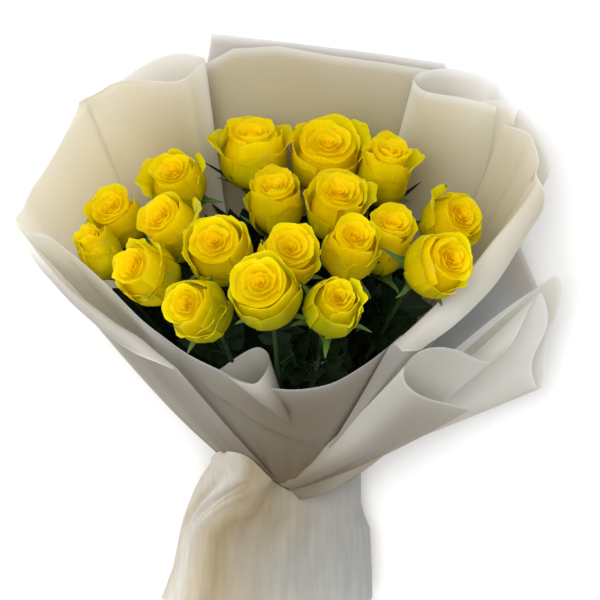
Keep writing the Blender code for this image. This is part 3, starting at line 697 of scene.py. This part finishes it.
def add_stem(number, route, skin, pith):
    rng = np.random.default_rng(300 + number)
    at = np.linspace(0, len(route) - 1, STEM_RINGS)
    path = smooth_curve(route, at)
    far = smooth_step(at, 3.2, 5.0)
    wander = ripple(rng, 3, 0.8, 2.0)
    radii = STEM_RADIUS * (0.92 + 0.06 * np.sin(at * 5 + number))
    radii = radii * (1 - 0.12 * far)
    radii[-4:] *= np.array(FOOT_SWELL)
    path = path + np.stack([wander(at), 0 * at, wander(at + 9)], 1) * (
        1.2 * far * (1 - smooth_step(at, 6.0, 7.0)))[:, None]
    sheets = Sheets()
    sheets.add(tube(path, radii), ring=True)
    way = path[1] - path[0]
    cut = path[0] - unit(way) * np.array(CUT_STEPS)[:, None]
    sheets.add(tube(cut, radii[0] * np.array(CUT_SHARES), way=way), ring=True, surface=1)
    for k in range(THORNS):
        spot = int(rng.uniform(0.42, 0.9) * STEM_RINGS)
        sheets.add(thorn(path[spot], path[spot + 1] - path[spot], radii[spot],
                         rng.uniform(0, 2 * pi)), ring=True)
    sheets.build(f"stem_{number:02d}", "stem_green", f"rose_stem_{number:02d}", skin, pith)


def thorn(foot, way, radius, turn):
    """A small hooked prickle, flattened along the stem."""
    way = unit(way)
    side = unit(np.cross(way, (0.3, 0.1, 0.9)))
    out = cos(turn) * side + sin(turn) * np.cross(way, side)
    t = np.linspace(0, 1, THORN_CELLS)
    path = foot + out * (radius * 0.8 + 3.2 * t)[:, None] - way * (1.6 * t ** 2)[:, None]
    size = 1.1 * (1 - t) ** 1.3 + 0.03
    angle = circle(THORN_CELLS)[:, None, None]
    ring = np.cos(angle) * way * 1.5 + np.sin(angle) * np.cross(way, out) * 0.6
    return path + ring * size[None, :, None]


# ------ leaves
TEETH = 11
VALLEY = 0.22               # how far a blade folds at its rib
FINE_BLADE = (27, 9)        # a blade's points along and across
# Two kinds of leaf.  The stalk: start in mm, end as a share of the length, radius,
# rings and sides.  The leaflets: place, lean in degrees, length and width.  Then how
# far they stray in degrees, the least and most droop, and a blade's points.
BIG_LEAF = ((-2, 0.42, 0.9, 9, 6),
            [(0.42, 0, 0.62, 0.72), (0.34, 48, 0.5, 0.55), (0.34, -48, 0.5, 0.55),
             (0.12, 62, 0.42, 0.48), (0.12, -62, 0.42, 0.48)], 6, (0.05, 0.3), FINE_BLADE)
SPRAY_LEAF = ((-1, 0.4, 0.8, 6, 5),
              [(0.4, 0, 0.6, 0.44), (0.3, 50, 0.5, 0.36), (0.3, -50, 0.5, 0.36)],
              10, (0.0, 0.3), (14, 5))


def blade(foot, way, out, length, width, bend, rng, cells=FINE_BLADE):
    """A leaf blade: pointed, toothed, folded a little at its rib and drooping."""
    s = np.linspace(0, 1, cells[0])[:, None]
    u = np.linspace(-1, 1, cells[1])[None, :]
    half = 0.5 * width * np.sin(pi * s ** 0.78) ** 0.8 * (1 - 0.25 * s)
    saw = (s * TEETH) % 1.0
    half = half * (1 + 0.16 * (saw - 0.5) * smooth_step(np.abs(u), 0.6, 1.0)) + 0.02
    across = unit(np.cross(way, out))
    curve = bend * s ** 2 * length
    wave = ripple(rng, 3, 3.0, 8.0)
    lift = VALLEY * half * np.abs(u) + 0.6 * np.abs(u) ** 2 * wave(s * 4 + u)
    grid = (foot + way * (s * length)[..., None] * (1 - 0.3 * abs(bend) * s)[..., None]
            + across * (u * half)[..., None] + out * (lift - curve)[..., None])
    return grid, s, u


def grow_leaf(sheets, rng, kind, foot, way, face, length, width):
    """A stalk with its leaflets."""
    (start, end, thick, rings, sides), leaflets, stray, droop, cells = kind
    stalk = foot + way * np.linspace(start, end * length, rings)[:, None]
    sheets.add(tube(stalk, np.linspace(thick, thick - 0.4, rings), sides), ring=True, rise=0.5)
    across = unit(np.cross(way, face))
    for place, lean, tall, wide in leaflets:
        a = radians(lean + rng.uniform(-stray, stray))
        heading = way * cos(a) + across * sin(a)
        grid, rise, side = blade(foot + way * (place * length), heading, face, tall * length,
                                 wide * width, rng.uniform(*droop), rng, cells)
        sheets.add(grid, rise=rise, across=side)


def add_leaf(number, leaf, routes, material):
    rose, distance, turn, length, width = leaf
    turn += LEAF_TURN.get(number, 0)
    route = routes[rose]
    axis = unit(route[-1] - route[3])
    up = np.array((0.0, 0.0, 1.0))
    out = unit(up - axis * up.dot(axis))
    out = np.array(Matrix.Rotation(radians(turn), 3, Vector(axis)) @ Vector(out))
    foot = route[3] + axis * (distance - STRAIGHT_RUN) + out * STEM_RADIUS
    splay = radians(LEAF_SPLAY)
    sheets = Sheets("rise", "across")
    grow_leaf(sheets, np.random.default_rng(500 + number), BIG_LEAF, foot,
              axis * cos(splay) + out * sin(splay),
              out * cos(splay) - axis * sin(splay), length, width)
    sheets.build(f"foliage_{number:02d}", "leaf_green", f"leaf_{number:02d}", material)


# The room of the front sheet's pleat, from the tie.
PLEAT_LEFT, PLEAT_ALONG, PLEAT_BASE = -62, 205, 100


def under_front(point):
    """Whether a point keeps inside the front sheet, or lies beyond its rim."""
    rim = np.array(FRONT_SHEET, float)[:, 3:6] - (0, 0, TIE_HEIGHT)
    bearing = np.degrees(np.arctan2(rim[:, 0], rim[:, 1]))
    level = np.degrees(np.arctan2(rim[:, 2], np.hypot(rim[:, 0], rim[:, 1])))
    x, y, z = point - (0, 0, TIE_HEIGHT)
    if PLEAT_LEFT < x < 0 and y < PLEAT_ALONG and z > PLEAT_BASE:
        return False            # the front sheet's pleat stands here
    here = degrees(atan2(x, y))
    if hypot(x, y, z) > np.interp(here, bearing, np.linalg.norm(rim, axis=1)) + 5:
        return True
    lift = degrees(atan2(z, hypot(x, y)))
    return here > -34 and lift < np.interp(here, bearing, level) - 6


SPRAYS = 14                 # extra leaves on each stem
SPRAY_TRIES = 30
SPRAY_LOW, SPRAY_HIGH = 105.0, 272.0
SPRAY_SIDE = 32.0           # how far to the sides, in degrees, the leaves may fill
SPRAY_LIFT = radians(42)
# Single leaflets and thin sepals by stem number: foot, tip, width and droop.
SINGLES = {
    11: [((-106, 173, 93), (-139, 203, 96), 27, 0.1),
         ((-100, 163, 88), (-124, 200, 104), 22, 0.1)],
    1: [((-23, 268, 44), (-67, 299, 56), 3.5, 0.25), ((-23, 262, 44), (-52, 294, 60), 3, -0.3)],
    3: [((80, 256, 57), (119, 291, 68), 3.5, -0.3)],
}
SINGLE_FACE = np.array((0, 0.3, 1.0))       # the way the single leaflets look


def add_foliage(number, route, material):
    """Leaves that fill the room between the stems, under the heads, their near-black colour
    partly painted shade.
    """
    rng = np.random.default_rng(900 + number)
    sheets = Sheets("rise", "across")
    axis = unit(route[-1] - route[3])
    up = unit(np.array((0, 0, 1.0)) - axis * axis[2])
    side = np.cross(axis, up)
    for k in range(SPRAYS):
        for attempt in range(SPRAY_TRIES):
            turn, splay = rng.uniform(0, 2 * pi), radians(rng.uniform(15, 60))
            length = rng.uniform(38, 62)
            foot = route[3] + axis * (rng.uniform(SPRAY_LOW, SPRAY_HIGH - 30))
            out = cos(turn) * up + sin(turn) * side
            way = axis * cos(splay) + out * sin(splay)
            tip = foot + way * length
            lean = degrees(atan2(abs(tip[0]), tip[1]))
            if (under_front(tip) and under_front((foot + tip) / 2) and lean < SPRAY_SIDE
                    and tip[2] > 8 and np.linalg.norm(tip - (0, 0, TIE_HEIGHT)) < SPRAY_HIGH
                    and atan2(tip[2] - TIE_HEIGHT, tip[1]) < SPRAY_LIFT):
                break
        else:
            continue
        face = unit(out * cos(splay) - axis * sin(splay) + rng.uniform(-0.5, 0.5, 3))
        grow_leaf(sheets, rng, SPRAY_LEAF, foot, way, face, length, length)
    for foot, tip, width, droop in SINGLES.get(number, ()):
        foot, way = np.array(foot, float), np.array(tip, float) - foot
        length, way = np.linalg.norm(way), unit(way)
        face = unit(SINGLE_FACE - way * way.dot(SINGLE_FACE))
        grid, rise, edge = blade(foot, way, face, length, width, droop, rng)
        sheets.add(grid, rise=rise, across=edge)
    sheets.build(f"spray_{number:02d}", "leaf_green", None, material)


SEPALS = 5
CALYX_SIDES = 14
CUP_RINGS = 8
SEPAL_ROWS = 16


def add_calyx(number, material):
    """The green cup under a head and its sepals, bent back and curled."""
    rng = np.random.default_rng(700 + number)
    foot, axes = head_frame(number)
    size = ROSES[number - 1][3] / 2
    sheets = Sheets("rise", "across")
    t = np.linspace(0, 1, CUP_RINGS)
    radii = 2.6 + 0.17 * size * np.sin(pi * np.minimum(t * 0.75, 0.5)) + 1.5 * t
    turn = circle(CALYX_SIDES)[:, None]
    cup = np.stack([radii * np.cos(turn), radii * np.sin(turn), -4.0 + 8.0 * t + 0 * turn], -1)
    sheets.add(foot + cup @ axes, ring=True, rise=0.4, across=0.5)
    begin = rng.uniform(0, 2 * pi)
    s = np.linspace(0, 1, SEPAL_ROWS)[:, None]
    u = np.linspace(-1, 1, 5)[None, :]
    for k in range(SEPALS):
        angle = begin + k * 2 * pi / SEPALS + rng.uniform(-0.2, 0.2)
        step = rng.uniform(25, 34) / (SEPAL_ROWS - 1)
        tilt = radians(22) - radians(rng.uniform(-10, 55)) * s
        r = 4.5 + np.cumsum(np.cos(tilt) * step, 0) - step
        z = 1.0 + np.cumsum(np.sin(tilt) * step, 0) - step
        half = rng.uniform(6.5, 9.0) * (1 - s) ** 0.7 * (
            0.55 + 0.45 * np.sin(pi * np.minimum(s * 2, 1))) + 0.05
        aside = u * half + 1.5 * s ** 2 * ripple(rng, 2, 2.0, 5.0)(s * 2)
        grid = np.stack([cos(angle) * r - sin(angle) * aside,
                         sin(angle) * r + cos(angle) * aside,
                         z + 0.25 * half * np.abs(u)], -1)
        sepal = foot + grid @ axes
        if under_front(sepal[-1, 2]) and under_front(sepal[8, 2]):
            sheets.add(sepal, rise=s, across=u)
    sheets.build(f"calyx_{number:02d}", "leaf_green", None, material)


# ------ film
FILM_COLUMNS = 9            # columns a knot
RISE_ROWS = 44
ROLL_ROWS = 24


def strips(columns, at, swell):
    """Lines of a gathered sheet from neck over rim and round the roll, as the part's."""
    table = smooth_curve(columns, at)
    angle, layer = np.radians(table[:, 0]), table[:, 1]
    foot = np.stack([(NECK_SIDE + layer * LAYER_STEP) * np.cos(angle), table[:, 2],
                     TIE_HEIGHT + (NECK_FRONT + layer * LAYER_STEP) * np.sin(angle)], 1)
    rim, belly, tone = table[:, 3:6], table[:, 6], table[:, 7]
    middle = (foot + rim) / 2
    tie = np.array((0.0, 0.0, TIE_HEIGHT))
    share = (middle - tie) @ BELLY_AXIS / (BELLY_AXIS @ BELLY_AXIS)
    out = middle - (tie + share[:, None] * BELLY_AXIS)
    ruling = unit(rim - foot)
    out = unit(out - ruling * (out * ruling).sum(1, keepdims=True))
    t = np.linspace(0, 1, RISE_ROWS + 1)[None, :, None]
    bulge = np.sin(pi * t ** swell)
    grid = (foot[:, None] * (1 - t) + rim[:, None] * t
            + out[:, None] * (belly[:, None, None] * bulge))
    outs = np.repeat(out[:, None], RISE_ROWS + 1, 1)
    if table.shape[1] > 8:          # the edge is rolled
        way = unit(grid[:, -1] - grid[:, -1 - RISE_ROWS // 6])
        out = unit(out - way * (out * way).sum(1, keepdims=True))
        roll, turn, lapel = table[:, 8], np.radians(table[:, 9]), table[:, 10]
        radius = (roll / turn)[:, None, None]
        a = (turn[:, None] * np.linspace(0, 1, ROLL_ROWS + 1)[1:])[..., None]
        curl = rim[:, None] + way[:, None] * (radius * np.sin(a)) + out[:, None] * (
            radius * (1 - np.cos(a)))
        end = way * np.cos(turn)[:, None] + out * np.sin(turn)[:, None]
        tip = curl[:, -1:] + end[:, None] * lapel[:, None, None]
        grid = np.concatenate([grid, curl, tip], 1)
        outs = np.concatenate([outs, np.repeat(out[:, None], ROLL_ROWS + 1, 1)], 1)
    return grid, outs, tone


def edge_highlight_mask(grid, width=1.6):
    """1 at a sheet's cut edges, falling to 0 a little way in: where the painted edge highlight
    lies.
    """
    steps = np.linalg.norm(np.diff(grid, axis=1), axis=2)
    left = np.concatenate([np.zeros((len(grid), 1)), np.cumsum(steps, 1)], 1)
    return np.clip(1 - (left[:, -1:] - left) / width, 0, 1)


def crinkle(grid, outs, rng, size, foot_size):
    """Soft folds that gather towards the neck, and faint waves near the rim."""
    cols, rows = grid.shape[:2]
    c = np.linspace(0, cols / FILM_COLUMNS / 1.5, cols)[:, None]
    t = np.minimum(np.arange(rows) / RISE_ROWS, 1.0)[None, :]
    fold, slow = ripple(rng, 5, 3.0, 9.0), ripple(rng, 3, 0.8, 2.0)
    near_foot = np.sin(pi * np.minimum(t * 1.4, 1)) ** 0.7 * (1 - t) ** 0.8
    push = foot_size * near_foot * fold(c + 0.3 * t)
    push = push + size * t ** 2 * slow(c * 1.6 + t) * (t < 1.0)
    return grid + outs * push[..., None], t


def build_film(name, node, grid, material, edge, rise, tone, ring=False):
    sheets = Sheets("edge", "rise", "tone")
    sheets.add(grid, ring, edge=edge, rise=rise, tone=tone)
    sheets.build(name, "frosted_film", node, material)


def add_sheet(name, node, columns, material, seed, size=0.6, foot_size=1.2, crease=None,
              ridges=(), swell=BELLY_LOW):
    """A gathered sheet: from the neck to its rim, with folds, and rolled where it says so."""
    at = np.linspace(0, len(columns) - 1, (len(columns) - 1) * FILM_COLUMNS + 1)
    grid, outs, tone = strips(columns, at, swell)
    grid, rise = crinkle(grid, outs, np.random.default_rng(seed), size, foot_size)
    if crease:
        grid = grid + outs * crease(at[:, None], rise)[..., None]
    for place, width, depth in ridges:
        ridge = np.exp(-((at[:, None] - place) / width) ** 2)
        grid = grid + outs * (depth * ridge * smooth_step(rise, 0.35, 0.9))[..., None]
    # painted shade: the film's light and shade value falls towards the neck
    tone = tone[:, None] / 2 * (0.6 + 0.4 * smooth_step(rise, 0.1, 0.55))
    build_film(name, node, grid, material, edge_highlight_mask(grid), rise, tone)


def front_crease(at, rise):
    """The slack of the front sheet: it sinks below a slanting crease."""
    line = 0.80 - 0.055 * (at - 8)
    share = smooth_step(at, 7.0, 9.0) * (1 - smooth_step(at, 12.0, 14.0))
    return -4.5 * share * smooth_step(line - rise, 0.0, 0.10) * smooth_step(rise, 0.1, 0.4)


def add_pleat(material):
    """The pleat that stands up from the front sheet's rim."""
    mouth = np.array(PLEAT_MOUTH, float)
    ring = smooth_curve(np.vstack([mouth, mouth[:1]]), np.linspace(0, len(mouth), 97))
    t = np.linspace(0, 1, 24)[None, :, None]
    grid = ring[:, None] * (1 - t) + np.array(PLEAT_POINT, float) * t
    grid[..., 2] += 3.0 * np.sin(pi * t[..., 0])
    rise = 1 - t[..., 0]
    # painted shade: the pleat's film darkens down into its point
    build_film("film_front_pleat", None, grid, material,
               edge_highlight_mask(grid[:, ::-1], 2.0)[:, ::-1] * PLEAT_EDGE_HIGHLIGHT, rise,
               0.08 + 0.48 * rise ** 2)


def add_flat(name, node, neck, edge, height, tone, material, seed):
    """A sheet that lies on the table, from the neck to an edge that lifts a little."""
    count = (len(edge) - 1) * FILM_COLUMNS + 1
    at = np.linspace(0, len(edge) - 1, count)
    x, y, lift = (np.interp(at, np.arange(len(edge)), v)[:, None] for v in zip(*edge))
    t = np.linspace(0, 1, RISE_ROWS + 1)[None, :]
    foot = np.linspace(-neck, neck, count)[:, None]
    wave = ripple(np.random.default_rng(seed), 4, 1.0, 4.0)
    rise = height + lift * np.maximum(0, (t - FLAT_SHARE) / (1 - FLAT_SHARE)) ** 2
    rise = rise + 0.5 * (1 + wave(at[:, None] * 1.5)) * t ** 2 * 0.8
    grid = np.stack([foot + (x - foot) * t, FLAT_START + (y - FLAT_START) * t, rise], -1)
    build_film(name, node, grid, material, edge_highlight_mask(grid), t, tone)


HANDLE_COLUMNS = 300
HANDLE_ROWS = 90
# The handle's top edge round it: degrees from the right over the front, then
# the place along and how far the film puffs up there.
HANDLE_CROWN = [(0, 12, 0), (30, 6, 0), (60, -2, 0), (80, 2, 4), (90, 10, 11), (98, 19, 22),
                (102, 26, 29), (110, 39, 40), (118, 49, 47), (128, 54, 50), (138, 54, 49),
                (155, 49, 42), (172, 38, 32), (185, 27, 16), (205, 14, 3), (240, 4, 0),
                (320, 0, 0), (360, 12, 0)]
# Folds that run down from the tie: degrees round the handle, slant, width, depth.
HANDLE_PLEATS = [(62, 10, 4, 1.5), (80, 14, 4, 2.0), (99, 10, 3, 3.5), (108, 40, 4, -3.0),
                 (116, 40, 4, 5.0), (130, 30, 5, -3.0), (146, 20, 4, 3.0)]
# Painted light and shade on the handle's film, from its shaded grey right side to
# the painted shadow streak and the lit left side, by degrees from the streak.
HANDLE_SHADES = [(-100, 1.0), (-45, 0.88), (-24, 0.74), (-10, 0.62), (0, 0.52), (9, 0.42),
                 (19, 0.25), (27, 0.02), (36, 0.05), (52, 0.25), (70, 0.1), (110, 0.3)]
SHADE_STREAK = 100                # where the painted shadow streak starts, in degrees round the handle
CREASE_SHADE = 114                # where a painted crease shadow starts


def add_handle(material):
    """The film wrapped round the stems under the tie, puffed up at its top."""
    fold = ripple(np.random.default_rng(77), 6, 6.0, 22.0)
    a = circle(HANDLE_COLUMNS)[:, None]
    t = np.linspace(0, 1, HANDLE_ROWS + 1)[None, :]
    crown, sides, shades = (np.array(table, float) for table in (
        HANDLE_CROWN, HANDLE_SIDES, HANDLE_SHADES))
    place = np.interp(np.degrees(a[:, 0]), crown[:, 0], np.arange(len(crown)))
    top, puff = smooth_curve(crown[:, 1:], place).T[..., None]
    along = top + (HANDLE_END - top) * t
    left, right = (np.interp(along, sides[:, 0], sides[:, k]) for k in (1, 2))
    turn, bearing = a + 0 * t, np.degrees(a) + 0 * t
    lobe = puff * np.clip(1 - t / 0.65, 0, 1) ** 1.5
    folds = (0.3 + 0.9 * t) * fold(turn) * smooth_step(np.sin(a), -0.9, 0.0)
    for place, slant, width, depth in HANDLE_PLEATS:
        away = (bearing - slant * smooth_step(t, 0.1, 0.6) - place) / (width * (1 + t))
        folds = folds - depth * np.exp(-away ** 2) * smooth_step(t, 0.08, 0.3) * (
            1 - smooth_step(t, 0.4, 0.95))
    x = (left + right) / 2 + ((right - left) / 2 + folds) * np.cos(a)
    low, high = HANDLE_HEIGHTS
    tall = low + (high - low) * t ** HANDLE_FLARE
    z = 0.6 + tall * ((1 + np.sin(a)) / 2) ** HANDLE_FLATNESS + lobe
    z = z + folds * np.sin(a) * smooth_step(np.sin(a), -0.2, 0.4)
    grid = np.stack([x, along, np.maximum(z, 0.4)], -1)
    away = bearing - SHADE_STREAK - 25 * smooth_step(t, 0.2, 0.6) + 3 * fold(t * 0.9 + 1)
    shade = np.interp(away, shades[:, 0], shades[:, 1])
    # painted highlight on the puffed lobe
    shade = shade * (1 - 0.35 * smooth_step(lobe, 18.0, 34.0))
    # painted shade in the crease
    crease = np.exp(-((bearing - CREASE_SHADE - 14 * t) / 13) ** 2) * (1 - smooth_step(t, 0.2, 0.6))
    shade = shade + (0.5 - shade) * 0.85 * crease
    build_film("film_handle", "wrap_handle", grid, material, edge_highlight_mask(grid, 2.0), 0.6, shade,
               ring=True)


# ------ stage
def add_floor():
    bpy.ops.mesh.primitive_plane_add(size=6.0, location=(0, 0, -0.0002))
    floor = bpy.context.object
    floor.name = "floor"
    floor.data.materials.append(plain_material(
        "pale_floor", (3, 2), [(0.3, (0.92, 0.92, 0.92)), (0.7, (0.94, 0.94, 0.94))], 0.9, 0.1))


def add_light(name, place, size, power):
    """A square lamp that looks at LIGHT_AIM."""
    data = bpy.data.lights.new(name, "AREA")
    data.energy = power
    data.size = size
    lamp = show(name, data)
    lamp.location = place
    way = Vector(LIGHT_AIM) - Vector(place)
    lamp.rotation_euler = way.to_track_quat("-Z", "Y").to_euler()


def add_world(strength):
    world = bpy.data.worlds.new("studio")
    world.use_nodes = True
    sky = world.node_tree.nodes["Background"]
    sky.inputs["Color"].default_value = (1.0, 1.0, 1.0, 1.0)
    sky.inputs["Strength"].default_value = strength
    bpy.context.scene.world = world


def add_camera():
    tilt = radians(CAMERA_ELEVATION)
    back = Vector((0, cos(tilt), sin(tilt)))
    up = Vector((0, sin(tilt), -cos(tilt)))
    data = bpy.data.cameras.new("camera")
    data.sensor_width = CAMERA_SENSOR
    data.lens = CAMERA_SENSOR * CAMERA_DISTANCE / CAMERA_WIDTH
    data.clip_end = 20.0
    camera = show("camera", data)
    axes = Matrix((up.cross(back), up, back)).transposed().to_4x4()
    camera.matrix_world = Matrix.Translation(
        Vector(CAMERA_AIM) + back * CAMERA_DISTANCE) @ axes
    bpy.context.scene.camera = camera


def main():
    add_camera()
    add_floor()
    add_world(0.80)
    add_light("key", (-0.40, 1.05, 1.6), 1.4, 28)
    add_light("fill", (-0.7, -0.2, 1.5), 1.6, 6)
    bpy.context.scene.view_settings.view_transform = "Standard"

    petals = petal_material()
    # The leaves' near-black greens: their own dark green darkened to the deep shade under the
    # heads, partly painted shade.
    leaves = green_material("rose_leaf", (0.003, 0.008, 0.002), (0.008, 0.020, 0.005),
                            0.5, 0.12, 0.1)
    sepals = green_material("sepal", (0.035, 0.075, 0.010), (0.11, 0.18, 0.03), 0.45, 0.3, 0.2)
    skin = plain_material("stem_skin", (60, 4, (4, 0.4, 4)), STEM_SHADED_TINTS, 0.6, 0.1, (0.0005, 0.4))
    pith = plain_material("cut_pith", (900, 3), [(0.35, (0.42, 0.48, 0.22)),
                                                 (0.65, (0.70, 0.72, 0.48))], 0.7,
                          bump=(0.0003, 0.5))
    film = film_material("frosted_film", FILM_LIGHT_AND_SHADE, "tone", 0.4)
    outer = film_material("film_shaded", BACK_SHADE_TINTS, "rise", 0.0)
    grip = film_material("film_grip", HANDLE_LIGHT_AND_SHADE, "tone", 0.0, 0.3, 0.02, 0.90)

    slots = match_slots()
    routes = {}
    for i in range(len(ROSES)):
        number = i + 1
        routes[number] = stem_route(head_frame(number)[0], slots[i])
        add_rose(number, petals)
        add_calyx(number, sepals)
        add_foliage(number, routes[number], leaves)
        add_stem(number, routes[number], skin, pith)
    for i, leaf in enumerate(LEAVES):
        add_leaf(i + 1, leaf, routes, leaves)

    add_sheet("film_front", "wrap_front_sheet", FRONT_SHEET, film, 11, crease=front_crease)
    add_sheet("film_left", "wrap_left_sheet", LEFT_SHEET, film, 12, ridges=LEFT_RIDGES)
    add_sheet("film_right", "wrap_right_sheet", RIGHT_SHEET, film, 13, ridges=RIGHT_RIDGES)
    add_sheet("film_right_outer", None, RIGHT_OUTER, film, 18)
    add_sheet("film_right_pleat", None, RIGHT_PLEAT, film, 19, swell=1.5)
    add_sheet("film_right_tube", None, RIGHT_TUBE, film, 20, swell=1.5)
    add_sheet("film_flap", "wrap_right_flap", RIGHT_FLAP, film, 14)
    add_sheet("film_flap_under", None, FLAP_UNDER, film, 21, 0.3, 0.5)
    add_pleat(film)
    add_flat("film_back", "wrap_back_sheet", BACK_NECK, BACK_EDGE, BACK_HEIGHT, 0.5, outer, 15)
    # the lining's cream is a painted reflection of the flowers' yellow
    add_flat("film_lining", "wrap_back_lining", LINING_NECK, LINING_EDGE, LINING_HEIGHT,
             0.97, film, 16)
    add_handle(grip)

    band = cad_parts["stem_band"]
    band.data.materials.clear()
    band.data.materials.append(plain_material(
        "crepe_tape", (500, 3, (0.25, 1, 0.25)),
        [(0.3, (0.62, 0.59, 0.50)), (0.7, (0.78, 0.75, 0.67))], 0.65, bump=(0.0006, 0.6)))


main()
